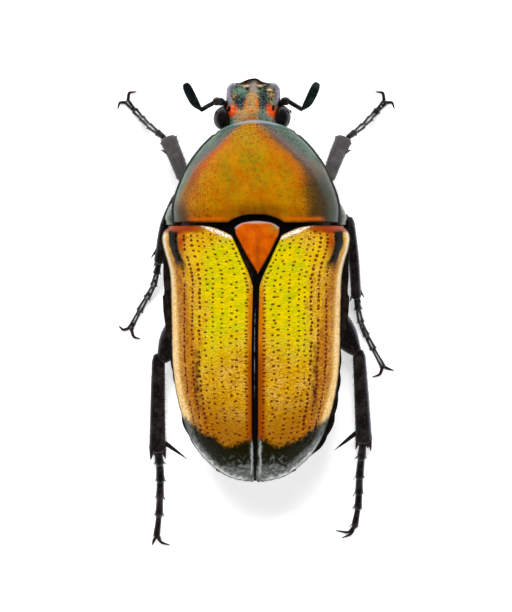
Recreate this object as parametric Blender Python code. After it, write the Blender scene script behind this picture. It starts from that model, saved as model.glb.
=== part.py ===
# A flower beetle, 25 mm long, standing on its six feet with the legs drawn in along the body.
# +Y runs towards the head, +X to the animal's right, +Z up; the floor is z = 0 and the origin
# is on the floor under the middle of the whole figure.
# Every size below is in millimetres. finish_node turns each finished mesh into metres.
import math

import bmesh
import bpy
from mathutils import Matrix, Vector

METRES_PER_MM = 0.001

# Gaps and wall thicknesses
SEAM = 0.3               # clear gap that neighbouring plates and joints keep
SHELL = 0.8              # thickness of the pronotum and of the wing cases
LIP = 0.5                # thickness of the pronotum at its front edge
THIN = 0.25              # least half thickness of a leg or feeler
TIP = 0.05               # half thickness at the point of a claw, spur or tooth

# Cross-section of the back: a flattened arch
ARCH_WIDE = 2.5
ARCH_TALL = 1.9

# Pronotum. The pairs are y at the side edge and a value.
PRONOTUM_BACK = 5.62
PRONOTUM_CORNER = 11.38
PRONOTUM_BOW = 0.58      # how far the front margin bulges forwards of its corners
BAY_DEPTH = 0.55         # bay of the hind margin that holds the scutellum
BAY_HALF = 1.35
PRONOTUM_HALF = ((5.62, 5.11), (6.4, 5.16), (7.2, 5.02), (8.1, 4.7), (9.0, 4.3), (9.8, 3.77),
                 (10.55, 3.15), (11.38, 2.25))
PRONOTUM_TOP = ((5.62, 9.95), (7.5, 9.8), (9.5, 8.95), (11.38, 7.2))
PRONOTUM_RIM = ((5.62, 6.2), (8.0, 6.0), (11.38, 5.75))

# Wing cases
ELYTRA_FRONT = 5.32
ELYTRA_BULGE = -1.6      # y where the sides start to round in
ELYTRA_END = -10.47
ELYTRA_SQUARENESS = 2.25
SUTURE_HALF = 0.16       # half the slot between the wing cases
ELYTRA_HALF = ((-1.6, 5.2), (0.8, 5.25), (2.2, 5.3), (3.2, 5.46), (4.1, 5.72), (4.67, 5.8), (5.05, 5.65),
               (5.32, 5.3))
ELYTRA_TOP = ((-10.47, 6.2), (-10.2, 6.8), (-9.6, 7.7), (-8.5, 8.7), (-7.0, 9.45), (-5.0, 9.95),
              (-2.0, 10.2), (2.0, 10.2), (4.0, 10.1), (5.32, 9.95))
ELYTRA_RIM = ((-10.47, 5.7), (-9.0, 5.4), (-7.0, 5.2), (-3.0, 5.15), (0.0, 5.25), (3.4, 5.6), (5.32, 6.2))
ELYTRA_RISE = 5.0        # height of the wing cases over their rims at the middle of the back
ELYTRA_ROWS = (-0.4, 0.8, 1.7, 2.2, 2.8, 3.4, 4.1, 4.67, 5.05, ELYTRA_FRONT)

# Scutellum
SCUTELLUM_HALF = ((2.43, 0.1), (3.3, 0.55), (4.3, 1.04), (5.05, 1.36), (5.28, 1.3), (5.48, 1.0), (5.62, 0.6))
SCUTELLUM_ROWS = (2.43, 2.9, 3.6, 4.3, 5.05, 5.28, 5.48, 5.62)
SCUTELLUM_SINK = 0.08
SCUTELLUM_THICK = 0.5
SCUTELLUM_FALL = 0.12    # drop of its side edges

# Underside: half width and lowest line of the chest, the belly and the front part
CHEST_HALF = ((1.4, 5.72), (2.5, 5.78), (4.2, 5.74), (4.9, 5.3), (5.3, 4.55), (6.9, 4.1))
CHEST_LOW = ((1.4, 2.45), (4.0, 2.35), (5.5, 2.7), (6.9, 3.5))
CHEST_ROWS = (1.4, 2.2, 3.2, 4.1, 4.6, 4.95, 5.3, 5.8, 6.4, 6.9)
CHEST_KNOB = ((0, 3.6, 2.6), (0, 5.2, 2.45), (0, 6.1, 2.5))
CHEST_KNOB_HALF = ((0.5, 0.4), (0.5, 0.4), (0.48, 0.36), (0.42, 0.32), (0.25, 0.2))
BELLY_HALF = ((-9.0, 3.2), (-8.35, 3.95), (-7.6, 4.42), (-6.7, 4.78), (-5.4, 5.0), (-4.0, 5.2), (-2.0, 5.3),
              (-0.9, 5.62), (0.2, 5.78), (1.1, 5.82))
BELLY_LOW = ((-9.0, 3.75), (-8.0, 3.35), (-6.0, 3.0), (-3.0, 2.85), (1.1, 2.8))
BELLY_BACK = -9.0
BELLY_STEP = -0.95       # behind this the belly reaches down beside the hind coxae
BELLY_ROOF = 4.25        # its height over the hind coxae
BELLY_FRONT = 1.1
ABDOMEN_LEAN = 0.14      # the belly lies slightly to the right of the wing cases
STERNITES = 6
STERNITE_STEP = 0.14
PYGIDIUM_FRONT = -9.3
PYGIDIUM_THICK = 0.5
PROSTERNUM_HALF = ((7.25, 4.2), (8.5, 3.85), (9.8, 3.1), (11.1, 1.75))
PROSTERNUM_LOW = ((7.25, 3.6), (8.5, 3.4), (9.5, 3.6), (11.1, 4.1))
PROSTERNUM_ROWS = (7.25, 8.0, 8.8, 9.5, 10.2, 11.05)
LEDGE = 0.15             # ledge that the underside keeps beside the arch of the back
SIDE_WALL = 0.5          # height of the upright strip along the edge of the underside
BELLY_ROUND = 1.6        # power of the underside's curve

# Epimera, the side plates beside the pronotum's hind corners: y, outer x and top
EPIMERON_ROWS = ((5.62, 5.7, 5.8), (5.95, 5.72, 5.8), (6.3, 5.6, 5.75), (6.65, 5.4, 5.6), (6.85, 5.2, 5.4))
EPIMERON_INNER = 4.88
EPIMERON_DEPTH = 1.3
EPIMERON_FALL = 0.12     # drop and tuck from each point of a row to the next one outwards
EPIMERON_TUCK = 0.03

# Pygidium, the rear plate: height, half width and bulge
PYGIDIUM_ROWS = ((3.7, 0.9, 0.1), (3.95, 1.6, 0.3), (4.35, 2.15, 0.5), (4.75, 2.45, 0.6), (5.2, 2.5, 0.65))

# Head, which is turned a little to the left
HEAD_SHIFT = -0.17
HEAD_HALF = ((11.42, 1.6), (12.2, 1.5), (12.9, 1.58), (13.45, 1.67), (14.0, 1.6), (14.3, 1.38), (14.52, 1.0))
HEAD_TOP = ((11.42, 5.75), (12.2, 5.8), (13.0, 5.5), (14.52, 4.65))
HEAD_LOW = ((11.42, 3.6), (12.2, 3.3), (13.0, 3.4), (14.52, 4.0))
HEAD_ROWS = (11.42, 11.8, 12.2, 12.6, 12.95, 13.3, 13.65, 13.95, 14.2, 14.38, 14.52)
HEAD_WALL = 0.12         # half the upright strip between the head's top and its underside
HEAD_RIM = 0.17          # raised front edge and middle ridge of the face
HEAD_RIM_Y = 14.42
HEAD_HOLLOW = 0.16       # depth of the hollow on each side of the ridge
HEAD_HOLLOW_X = 0.8
FACE_MIDDLE = 13.5       # y of the middle of the relief, and its half length
FACE_HALF = 0.75
EYES = {"left": (-2.1, 12.12, 4.85), "right": (1.62, 12.2, 4.85)}
EYE_HALF = (0.56, 0.71, 0.66)

# Feelers: scape, elbow and end of the stalk, then the root and the tip of the leaf club
ANTENNAE = {
    "left": {"stalk": ((-2.16, 13.26, 4.55), (-2.85, 13.15, 4.5), (-3.35, 12.82, 4.45)),
             "club": ((-3.78, 13.12, 4.45), (-4.46, 14.25, 4.5))},
    "right": {"stalk": ((1.82, 13.3, 4.55), (2.4, 13.12, 4.5), (2.8, 12.8, 4.45)),
              "club": ((3.2, 13.12, 4.45), (3.86, 14.3, 4.5))},
}
ANTENNA_HALF = (0.2, 0.26, 0.29, 0.26, 0.25, 0.26, 0.25, 0.25, 0.2)
CLUB_HALF = 0.31
CLUB_WIDTHS = (0.45, 0.8, 0.95, 1.0, 0.95, 0.75, 0.3)
LAMELLA_THICK = 0.17
LAMELLA_STEP = 0.2       # height between the leaves of a club

# Mouthparts: y and half width, their thickness, and a palp's path and end
MOUTH_ROWS = ((12.1, 0.75), (12.5, 0.95), (13.0, 0.95), (13.5, 0.8), (13.8, 0.5))
MOUTH_THICK = 0.75
MOUTH_ROUND = 0.3
PALP = ((0.5, 12.9, 2.75), (1.5, 12.95, 2.8), (2.3, 12.6, 3.2))
PALP_END = 0.15

# Legs. Each has its coxa's centre and half sizes, the joints along it, the foot's path, the two claws as
# bend and point, and its spurs as root and point. The front pair is alike; the others are held unevenly.
FOOT_LEVEL = 0.22        # height of a foot's middle line where it lies on the floor
FORE_LEG = {
    "coxa": (-1.35, 8.75, 3.1), "coxa_half": (0.85, 0.85, 0.9),
    "femur": ((-2.55, 8.6, 2.85), (-3.3, 8.35, 3.15), (-4.0, 8.05, 3.45)), "femur_half": 0.6,
    "tibia": ((-4.55, 8.5, 3.5), (-4.95, 9.6, 3.15), (-5.42, 10.7, 2.6)), "tibia_half": (0.3, 0.42),
    "foot": ((-5.88, 11.2, 2.2), (-6.68, 11.85, 1.4), (-7.5, 12.6, 0.45), (-8.02, 13.2, 0.2)),
    "claws": (((-8.5, 13.17, 0.2), (-8.66, 12.8, 0.12)), ((-7.86, 13.78, 0.2), (-7.5, 13.85, 0.12))),
    "spurs": (((-5.3, 9.75, 3.0), (-5.9, 10.2, 2.8)), ((-5.55, 10.4, 2.7), (-6.14, 10.74, 2.5)),
              ((-5.15, 10.5, 2.6), (-4.95, 11.1, 2.35))),
}
LEFT_MIDDLE_LEG = {
    "coxa": (-1.65, 4.45, 2.55), "coxa_half": (0.9, 0.8, 0.85),
    "femur": ((-2.6, 5.25, 2.1), (-3.7, 6.2, 2.35), (-4.5, 7.1, 2.65)), "femur_half": 0.65,
    "tibia": ((-5.12, 7.25, 2.7), (-5.75, 5.4, 2.4), (-6.05, 3.45, 1.9)), "tibia_half": (0.3, 0.36),
    "foot": ((-6.1, 2.95, 1.6), (-6.4, 1.8, 0.95), (-7.15, 0.42, 0.3), (-7.88, -0.97, 0.2)),
    "claws": (((-8.3, -1.05, 0.2), (-8.6, -0.8, 0.12)), ((-7.65, -1.5, 0.2), (-7.25, -1.62, 0.12))),
    "spurs": (((-6.1, 4.1, 2.1), (-6.6, 3.4, 1.8)), ((-5.9, 3.7, 1.9), (-5.6, 2.95, 1.6))),
}
RIGHT_MIDDLE_LEG = {
    "coxa": (1.65, 4.45, 2.55), "coxa_half": (0.9, 0.8, 0.85),
    "femur": ((2.8, 4.9, 2.1), (4.2, 5.5, 2.4), (5.25, 5.85, 2.7)), "femur_half": 0.65,
    "tibia": ((5.85, 5.6, 2.7), (6.1, 3.5, 2.4), (6.28, 1.2, 1.9)), "tibia_half": (0.3, 0.36),
    "foot": ((6.3, 0.75, 1.6), (6.55, -0.5, 0.95), (7.2, -1.95, 0.3), (7.98, -3.4, 0.2)),
    "claws": (((7.75, -3.85, 0.2), (7.3, -4.02, 0.12)), ((8.3, -3.5, 0.2), (8.66, -3.6, 0.12))),
    "spurs": (((6.4, 1.6, 2.0), (6.78, 0.95, 1.8)), ((6.1, 1.5, 1.9), (5.85, 0.9, 1.6))),
}
LEFT_HIND_LEG = {
    "femur": ((-1.9, 0.05, 1.75), (-4.4, -0.75, 1.85), (-5.72, -2.6, 2.15)), "femur_half": 0.98,
    "tibia": ((-6.12, -2.98, 2.1), (-6.15, -5.8, 1.7), (-6.17, -8.6, 1.15)), "tibia_half": (0.38, 0.47),
    "foot": ((-6.15, -9.08, 0.9), (-6.03, -10.4, 0.5), (-6.08, -12.3, 0.22), (-6.24, -14.05, 0.2)),
    "claws": (((-6.4, -14.3, 0.2), (-6.5, -14.55, 0.12)), ((-5.85, -14.35, 0.2), (-5.4, -14.55, 0.12))),
    "spurs": (((-6.35, -8.35, 1.2), (-6.72, -8.98, 1.05)), ((-6.0, -8.35, 1.1), (-5.6, -8.98, 1.0)),
              ((-5.95, -7.95, 1.2), (-4.3, -9.16, 0.9))),
}
RIGHT_HIND_LEG = {
    "femur": ((1.9, 0.15, 1.75), (4.55, -0.4, 1.85), (6.1, -2.1, 2.15)), "femur_half": 0.98,
    "tibia": ((6.48, -2.7, 2.1), (6.62, -5.4, 1.7), (6.75, -8.1, 1.15)), "tibia_half": (0.38, 0.47),
    "foot": ((6.7, -8.58, 0.9), (6.5, -10.2, 0.5), (6.42, -11.9, 0.22), (6.18, -13.4, 0.2)),
    "claws": (((5.75, -13.75, 0.2), (5.02, -13.65, 0.12)), ((5.95, -13.85, 0.2), (5.4, -14.1, 0.12))),
    "spurs": (((6.95, -7.85, 1.2), (7.26, -8.46, 1.05)), ((6.55, -7.85, 1.1), (6.14, -8.46, 1.0)),
              ((6.4, -7.4, 1.2), (4.92, -8.6, 0.9))),
}
HIND_COXA = ((0.75, 0.25, 3.1), (2.6, 0.25, 3.2), (4.7, 0.25, 3.7))
HIND_COXA_HALF = ((0.8, 0.7), (0.85, 0.7), (0.75, 0.42))
HIND_COXA_ENDS = (0.7, 1, 1, 1, 1, 1, 0.7)
FEMUR_THICK = 0.5        # half thickness of a femur at its thickest
FEMUR_WIDTHS = (0.5, 0.8, 0.95, 1.0, 1.0, 0.92, 0.75, 0.45)
FEMUR_HEIGHTS = (0.7, 0.95, 1.0, 1.0, 1.0, 0.9, 0.75, 0.5)
TIBIA_THICK = 0.28
TIBIA_WIDTHS = (0.75, 1, 1, 1, 1, 1, 1.08, 0.8)
TIBIA_HEIGHTS = (0.8, 1, 1, 1, 1, 1, 1.05, 0.8)
SPIKE_HALF = 0.2         # half thickness of a claw or spur at its root
TARSUS_JOINTS = 5
TARSUS_SHARES = (0.0, 0.45, 0.82, 0.95)
TARSUS_PEAK = 0.82       # share of a foot joint where it is widest
TARSUS_SWELL = 0.22
TARSUS_ROOT = 0.96
TARSUS_STURDY = 0.03     # what the hind feet are thicker by

# Colours, roughness and metallic share of the finishes
ORANGE = ((0.55, 0.2, 0.05, 1), 0.3, 0.35)
GOLD = ((0.5, 0.33, 0.08, 1), 0.3, 0.4)
BLACK_BROWN = ((0.02, 0.016, 0.013, 1), 0.3, 0.1)
GREEN_BLACK = ((0.02, 0.035, 0.03, 1), 0.35, 0.2)
GLOSS_BLACK = ((0.008, 0.008, 0.009, 1), 0.12, 0.0)
GREY_GREEN = ((0.28, 0.3, 0.2, 1), 0.35, 0.3)


def clear_scene():
    for thing in list(bpy.data.objects):
        bpy.data.objects.remove(thing, do_unlink=True)


def slope_at(pairs, k):
    # Slope of the smooth curve at its k-th pair. It is level where the curve turns back.
    if k == 0 or k == len(pairs) - 1:
        first = max(k - 1, 0)
        return (pairs[first + 1][1] - pairs[first][1]) / (pairs[first + 1][0] - pairs[first][0])
    before = (pairs[k][1] - pairs[k - 1][1]) / (pairs[k][0] - pairs[k - 1][0])
    after = (pairs[k + 1][1] - pairs[k][1]) / (pairs[k + 1][0] - pairs[k][0])
    if before * after <= 0:
        return 0.0
    return 2 * before * after / (before + after)


def smooth(pairs, at):
    # Value of the smooth curve through the pairs, held level beyond its ends.
    if at <= pairs[0][0]:
        return pairs[0][1]
    if at >= pairs[-1][0]:
        return pairs[-1][1]
    k = max(i for i in range(len(pairs) - 1) if pairs[i][0] <= at)
    span = pairs[k + 1][0] - pairs[k][0]
    t = (at - pairs[k][0]) / span
    rise = (1 + 2 * t) * (1 - t) ** 2 * pairs[k][1] + t * t * (3 - 2 * t) * pairs[k + 1][1]
    lean = t * (1 - t) ** 2 * slope_at(pairs, k) - t * t * (1 - t) * slope_at(pairs, k + 1)
    return rise + span * lean


def mix(a, b, t):
    return a + (b - a) * t


def steps(first, last, count):
    return [mix(first, last, i / (count - 1)) for i in range(count)]


def path_through(points, count):
    # Evenly numbered points on the smooth curve through a few given ones.
    knots = [Vector(p) for p in points]
    spread = range(len(knots))
    axes = [[(i, knots[i][axis]) for i in spread] for axis in range(3)]
    return [Vector([smooth(axis, t) for axis in axes]) for t in steps(0, len(knots) - 1, count)]


def new_object(name, mesh):
    # Turns a bmesh into an object. Its faces are made to point outwards first.
    bmesh.ops.recalc_face_normals(mesh, faces=mesh.faces)
    data = bpy.data.meshes.new(name)
    mesh.to_mesh(data)
    mesh.free()
    made = bpy.data.objects.new(name, data)
    bpy.context.scene.collection.objects.link(made)
    return made


def slab(name, upper, lower):
    # A closed body between two grids of points with equal rows and columns. Both grids are split
    # along the same diagonals.
    mesh = bmesh.new()
    top = [[mesh.verts.new(p) for p in row] for row in upper]
    low = [[mesh.verts.new(p) for p in row] for row in lower]
    rows = len(upper)
    columns = len(upper[0])
    for r in range(rows - 1):
        for c in range(columns - 1):
            for grid in (top, low):
                mesh.faces.new((grid[r][c], grid[r][c + 1], grid[r + 1][c + 1]))
                mesh.faces.new((grid[r][c], grid[r + 1][c + 1], grid[r + 1][c]))
    rim = [(0, c) for c in range(columns)] + [(r, columns - 1) for r in range(1, rows)]
    rim += [(rows - 1, c) for c in range(columns - 2, -1, -1)] + [(r, 0) for r in range(rows - 2, 0, -1)]
    for a, b in zip(rim, rim[1:] + rim[:1]):
        mesh.faces.new((top[a[0]][a[1]], low[a[0]][a[1]], low[b[0]][b[1]], top[b[0]][b[1]]))
    return new_object(name, mesh)


def tube(name, path, widths, heights, sides=8):
    # A closed limb along a path with level, oval rings. What would reach below the floor lies flat on it.
    mesh = bmesh.new()
    rings = []
    for i, centre in enumerate(path):
        ahead = (path[min(i + 1, len(path) - 1)] - path[max(i - 1, 0)]).normalized()
        across = ahead.cross(Vector((0, 0, 1))).normalized()
        lift = across.cross(ahead)
        ring = []
        for k in range(sides):
            angle = 2 * math.pi * (k + 0.5) / sides
            point = centre + across * widths[i] * math.cos(angle) + lift * heights[i] * math.sin(angle)
            point.z = max(point.z, 0.0)
            ring.append(mesh.verts.new(point))
        rings.append(ring)
    for near, far in zip(rings, rings[1:]):
        for k in range(sides):
            mesh.faces.new((near[k], near[k - 1], far[k - 1], far[k]))
    mesh.faces.new(rings[0])
    mesh.faces.new(rings[-1])
    return new_object(name, mesh)


def ball(name, centre, halves, segments=12):
    mesh = bmesh.new()
    bmesh.ops.create_uvsphere(mesh, u_segments=segments, v_segments=segments // 2 + 1, radius=1.0)
    bmesh.ops.scale(mesh, vec=halves, verts=mesh.verts)
    bmesh.ops.translate(mesh, vec=centre, verts=mesh.verts)
    return new_object(name, mesh)


def spike(root, point, bend=None):
    # A tapering claw, spur or tooth from its root to its point.
    path = path_through([root, bend, point] if bend else [root, point], 5 if bend else 3)
    sizes = [mix(SPIKE_HALF, TIP, run ** 1.3) for run in steps(0, 1, len(path))]
    return tube("piece", path, sizes, sizes, 5)


def boolean(body, pieces, operation):
    # Joins or cuts a body with several closed pieces at once, then removes them and keeps the largest
    # closed surface.
    group = bpy.data.collections.new("pieces")
    bpy.context.scene.collection.children.link(group)
    for piece in pieces:
        group.objects.link(piece)
    change = body.modifiers.new("shape", "BOOLEAN")
    change.operation = operation
    change.operand_type = "COLLECTION"
    change.collection = group
    change.solver = "EXACT"
    ready = body.evaluated_get(bpy.context.evaluated_depsgraph_get())
    shaped = bpy.data.meshes.new_from_object(ready)
    body.modifiers.clear()
    body.data = shaped
    for piece in pieces:
        bpy.data.objects.remove(piece, do_unlink=True)
    bpy.data.collections.remove(group)
    keep_largest(body)


def keep_largest(body):
    mesh = bmesh.new()
    mesh.from_mesh(body.data)
    left = set(mesh.faces)
    surfaces = []
    while left:
        edge = [left.pop()]
        surface = list(edge)
        while edge:
            near = [f for e in edge.pop().edges for f in e.link_faces if f in left]
            for face in near:
                if face in left:
                    left.remove(face)
                    edge.append(face)
                    surface.append(face)
        surfaces.append(surface)
    surfaces.sort(key=lambda faces: sum(f.calc_area() for f in faces))
    for surface in surfaces[:-1]:
        bmesh.ops.delete(mesh, geom=surface, context="FACES")
    loose = [v for v in mesh.verts if not v.link_faces]
    bmesh.ops.delete(mesh, geom=loose, context="VERTS")
    mesh.to_mesh(body.data)
    mesh.free()


def finish_node(body, name, finish):
    # Names the node, turns its mesh into metres, and gives it its own material.
    colour, roughness, metallic = finish
    body.name = name
    body.data.name = name
    body.data.transform(Matrix.Scale(METRES_PER_MM, 4))
    body.data.shade_smooth()
    body.data.set_sharp_from_angle(angle=math.radians(40))
    material = bpy.data.materials.new(name)
    material.use_nodes = True
    shader = material.node_tree.nodes["Principled BSDF"]
    shader.inputs["Base Color"].default_value = colour
    shader.inputs["Roughness"].default_value = roughness
    shader.inputs["Metallic"].default_value = metallic
    body.data.materials.clear()
    body.data.materials.append(material)
    return body


def arch(angle, half, rim, tall):
    # A point of the back's cross-section, from one edge (-90 degrees) over the top to the other.
    x = half * math.copysign(abs(math.sin(angle)) ** (2 / ARCH_WIDE), angle)
    return x, rim + tall * abs(math.cos(angle)) ** (2 / ARCH_TALL)


def arch_angle(x, half):
    return math.asin(min(1.0, x / half) ** (ARCH_WIDE / 2))


def pronotum_size(y, inset):
    rim = smooth(PRONOTUM_RIM, y)
    half = smooth(PRONOTUM_HALF, y) * (1 - inset / PRONOTUM_HALF[1][1])
    tall = (smooth(PRONOTUM_TOP, y) - rim) * (1 - inset / (PRONOTUM_TOP[0][1] - PRONOTUM_RIM[0][1]))
    return half, rim, tall


def pronotum_row(share, inset, columns):
    side_y = mix(PRONOTUM_BACK, PRONOTUM_CORNER, share)
    half, rim, tall = pronotum_size(side_y, inset)
    row = []
    for angle in steps(-math.pi / 2, math.pi / 2, columns):
        x, z = arch(angle, half, rim, tall)
        bow = PRONOTUM_BOW * share ** 2 * (1 - (x / half) ** 2)
        bay = BAY_DEPTH * (1 - share) ** 2 * max(0.0, 1 - (x / BAY_HALF) ** 2)
        row.append((x, side_y + bow + bay, z))
    return row


def pronotum():
    shares = steps(0, 1, 13)
    outer = [pronotum_row(s, 0.0, 21) for s in shares]
    inner = [pronotum_row(s, mix(SHELL, LIP, s), 21) for s in shares]
    finish_node(slab("pronotum", outer, inner), "pronotum", ORANGE)


def elytra_size(y, inset):
    # Half width, rim height and rise of the wing cases at y, and y itself drawn in towards the bulge.
    rim = smooth(ELYTRA_RIM, y)
    tall = (smooth(ELYTRA_TOP, y) - rim) * (1 - inset / ELYTRA_RISE)
    half = smooth(ELYTRA_HALF, y)
    drawn = y
    if y < ELYTRA_BULGE:
        run = (ELYTRA_BULGE - y) / (ELYTRA_BULGE - ELYTRA_END)
        half = half * (1 - min(run, 1.0) ** ELYTRA_SQUARENESS) ** (1 / ELYTRA_SQUARENESS)
        drawn = ELYTRA_BULGE - (ELYTRA_BULGE - y) * (1 - inset / (ELYTRA_BULGE - ELYTRA_END))
    return half * (1 - inset / ELYTRA_HALF[0][1]), rim, tall, drawn


def elytron_row(y, inset, columns):
    half, rim, tall, drawn = elytra_size(y, inset)
    inner_edge = SUTURE_HALF
    if y > SCUTELLUM_HALF[0][0] - SEAM:
        inner_edge = max(inner_edge, smooth(SCUTELLUM_HALF[:4], y) + SEAM)
    start = arch_angle(inner_edge, half)
    return [(x, drawn, z) for x, z in [arch(a, half, rim, tall) for a in steps(start, math.pi / 2, columns)]]


def elytron(side, sign):
    run = ELYTRA_END - ELYTRA_BULGE
    rows = [ELYTRA_BULGE + run * math.sin(a) for a in steps(math.radians(84), 0, 14)]
    rows += ELYTRA_ROWS
    outer = [[(sign * x, y, z) for x, y, z in elytron_row(r, 0.0, 11)] for r in rows]
    inner = [[(sign * x, y, z) for x, y, z in elytron_row(r, SHELL, 11)] for r in rows]
    finish_node(slab("elytron", outer, inner), "elytron_" + side, GOLD)


def scutellum():
    upper = []
    for y in SCUTELLUM_ROWS:
        half = smooth(SCUTELLUM_HALF, y)
        top = smooth(ELYTRA_TOP, y) - SCUTELLUM_SINK
        upper.append([(half * s, y, top - SCUTELLUM_FALL * abs(s) ** 3) for s in steps(-1, 1, 9)])
    lower = [[(x, y, z - SCUTELLUM_THICK) for x, y, z in row] for row in upper]
    finish_node(slab("scutellum", upper, lower), "scutellum", ORANGE)


def body_rows(y, half, low, edge, arch_size, columns, shift=0.0):
    # Upper and lower row of a block that fills the space under the back's plates: a ledge at the edge,
    # then the arch, and the rounded underside. Points of the two rows lie over one another.
    arch_half, rim, tall = arch_size
    half = max(half, arch_half + LEDGE)
    dome = [arch(a, arch_half, rim, tall) for a in steps(-math.pi / 2, math.pi / 2, columns)]
    profile = [(-half + shift, edge), (-arch_half, edge)] + dome + [(arch_half, edge), (half + shift, edge)]
    upper = [(x, y, z) for x, z in profile]
    across = [x for x, z in profile]
    across[2] = (dome[0][0] + dome[1][0]) / 2
    across[-3] = -across[2]
    lower = []
    for x in across:
        depth = low + (edge - SIDE_WALL - low) * abs((x - shift) / half) ** BELLY_ROUND
        lower.append((x, y, min(depth, edge - SIDE_WALL)))
    return upper, lower


def under_back(y):
    # Size of the space left under the plates of the back at y: under the wing cases, or the pronotum.
    inset = SHELL + SEAM
    half, rim, tall, _ = elytra_size(min(y, ELYTRA_FRONT), inset)
    if y < ELYTRA_FRONT - SEAM:
        return half, rim, tall
    front = pronotum_size(max(y, PRONOTUM_BACK), inset)
    return min(half, front[0]), min(rim, front[1]), min(rim + tall, front[1] + front[2]) - min(rim, front[1])


def sternum():
    upper = []
    lower = []
    for y in CHEST_ROWS:
        size = under_back(y)
        rows = body_rows(y, smooth(CHEST_HALF, y), smooth(CHEST_LOW, y), size[1] - SEAM, size, 13)
        upper.append(rows[0])
        lower.append(rows[1])
    body = slab("sternum", upper, lower)
    widths, heights = zip(*CHEST_KNOB_HALF)
    knob = tube("piece", path_through(CHEST_KNOB, len(widths)), widths, heights)
    boolean(body, [knob], "UNION")
    sockets = []
    for leg in (LEFT_MIDDLE_LEG, RIGHT_MIDDLE_LEG):
        sockets.append(ball("socket", leg["coxa"], [h + SEAM for h in leg["coxa_half"]]))
    boolean(body, sockets, "DIFFERENCE")
    finish_node(body, "sternum", BLACK_BROWN)


def belly_rows(y, roof):
    # One pair of the belly's rows. y here is already drawn in under the end of the wing cases.
    scale = 1 - (SHELL + SEAM) / (ELYTRA_BULGE - ELYTRA_END)
    outer_y = y if y > ELYTRA_BULGE else ELYTRA_BULGE + (y - ELYTRA_BULGE) / scale
    half, rim, tall, _ = elytra_size(outer_y, SHELL + SEAM)
    run = max((BELLY_STEP - y) / (BELLY_STEP - BELLY_BACK) * STERNITES, 0.0)
    share = run - math.floor(min(run, STERNITES - 0.001))
    low = smooth(BELLY_LOW, y) - STERNITE_STEP * share
    wide = smooth(BELLY_HALF, y) + 0.08 * math.sin(math.pi * share)
    edge = smooth(ELYTRA_RIM, y) - SEAM
    return body_rows(y, wide, BELLY_ROOF if roof else low, edge, (half, rim, tall), 11, ABDOMEN_LEAN)


def abdomen():
    pitch = (BELLY_STEP - BELLY_BACK) / STERNITES
    rows = [belly_rows(BELLY_BACK, False)]
    for k in range(STERNITES - 1, -1, -1):
        front = BELLY_STEP - pitch * k
        rows += [belly_rows(front - pitch * share, False) for share in (0.93, 0.5, 0.03)]
    rows += [belly_rows(y, True) for y in (BELLY_STEP + 0.02, 0.1, BELLY_FRONT)]
    finish_node(slab("abdomen", [r[0] for r in rows], [r[1] for r in rows]), "abdomen", BLACK_BROWN)


def prosternum():
    upper = []
    lower = []
    for y in PROSTERNUM_ROWS:
        half, rim, tall = pronotum_size(y, SHELL + SEAM)
        size = (min(half, smooth(PROSTERNUM_HALF, y)) - LEDGE, rim, tall)
        rows = body_rows(y, smooth(PROSTERNUM_HALF, y), smooth(PROSTERNUM_LOW, y), rim - SEAM, size, 11)
        upper.append(rows[0])
        lower.append(rows[1])
    body = slab("prosternum", upper, lower)
    sockets = []
    for sign in (1, -1):
        x, y, z = FORE_LEG["coxa"]
        sockets.append(ball("socket", (sign * x, y, z), [h + SEAM for h in FORE_LEG["coxa_half"]]))
    boolean(body, sockets, "DIFFERENCE")
    finish_node(body, "prosternum", BLACK_BROWN)


def epimeron(side, sign):
    # Side plate that shows between the pronotum's hind corner and the shoulder.
    upper = []
    lower = []
    for y, outer, top in EPIMERON_ROWS:
        across = steps(EPIMERON_INNER, outer, 4)
        upper.append([(sign * x, y, top - EPIMERON_FALL * i) for i, x in enumerate(across)])
        tucked = [x - EPIMERON_TUCK * i for i, x in enumerate(across)]
        lower.append([(sign * x, y, top - EPIMERON_DEPTH) for x in tucked])
    finish_node(slab("epimeron", upper, lower), "epimeron_" + side, GREY_GREEN)


def pygidium():
    # Rounded plate that closes the rear of the belly under the tips of the wing cases.
    face = []
    back = []
    for z, half, reach in PYGIDIUM_ROWS:
        rear = PYGIDIUM_FRONT - PYGIDIUM_THICK
        face.append([(half * s, rear - reach * (1 - s * s), z) for s in steps(-1, 1, 9)])
        back.append([(half * s, PYGIDIUM_FRONT, z) for s in steps(-1, 1, 9)])
    finish_node(slab("pygidium", face, back), "pygidium", BLACK_BROWN)


def head_relief(x, y):
    # Height of the face over its plain form: a raised front edge, and a middle ridge between two hollows.
    window = math.exp(-((y - FACE_MIDDLE) / FACE_HALF) ** 4)
    ridge = HEAD_RIM * math.exp(-(x / 0.3) ** 2)
    hollow = HEAD_HOLLOW * math.exp(-((abs(x) - HEAD_HOLLOW_X) / 0.32) ** 2)
    return window * (ridge - hollow) + HEAD_RIM * math.exp(-((y - HEAD_RIM_Y) / 0.14) ** 2)


def head():
    upper = []
    lower = []
    for y in HEAD_ROWS:
        half = smooth(HEAD_HALF, y)
        top = smooth(HEAD_TOP, y)
        low = smooth(HEAD_LOW, y)
        middle = mix(low, top, 0.55)
        row = []
        under = []
        for s in steps(-1, 1, 15):
            x = half * s
            dome = middle + HEAD_WALL + (top - middle - HEAD_WALL) * (1 - abs(s) ** 4)
            row.append((x + HEAD_SHIFT, y, dome + head_relief(x, y)))
            under.append((x + HEAD_SHIFT, y, low + (middle - HEAD_WALL - low) * abs(s) ** 2.5))
        upper.append(row)
        lower.append(under)
    body = slab("head", upper, lower)
    sockets = [ball("socket", centre, [h + SEAM for h in EYE_HALF]) for centre in EYES.values()]
    boolean(body, sockets, "DIFFERENCE")
    finish_node(body, "head", GREEN_BLACK)


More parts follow.
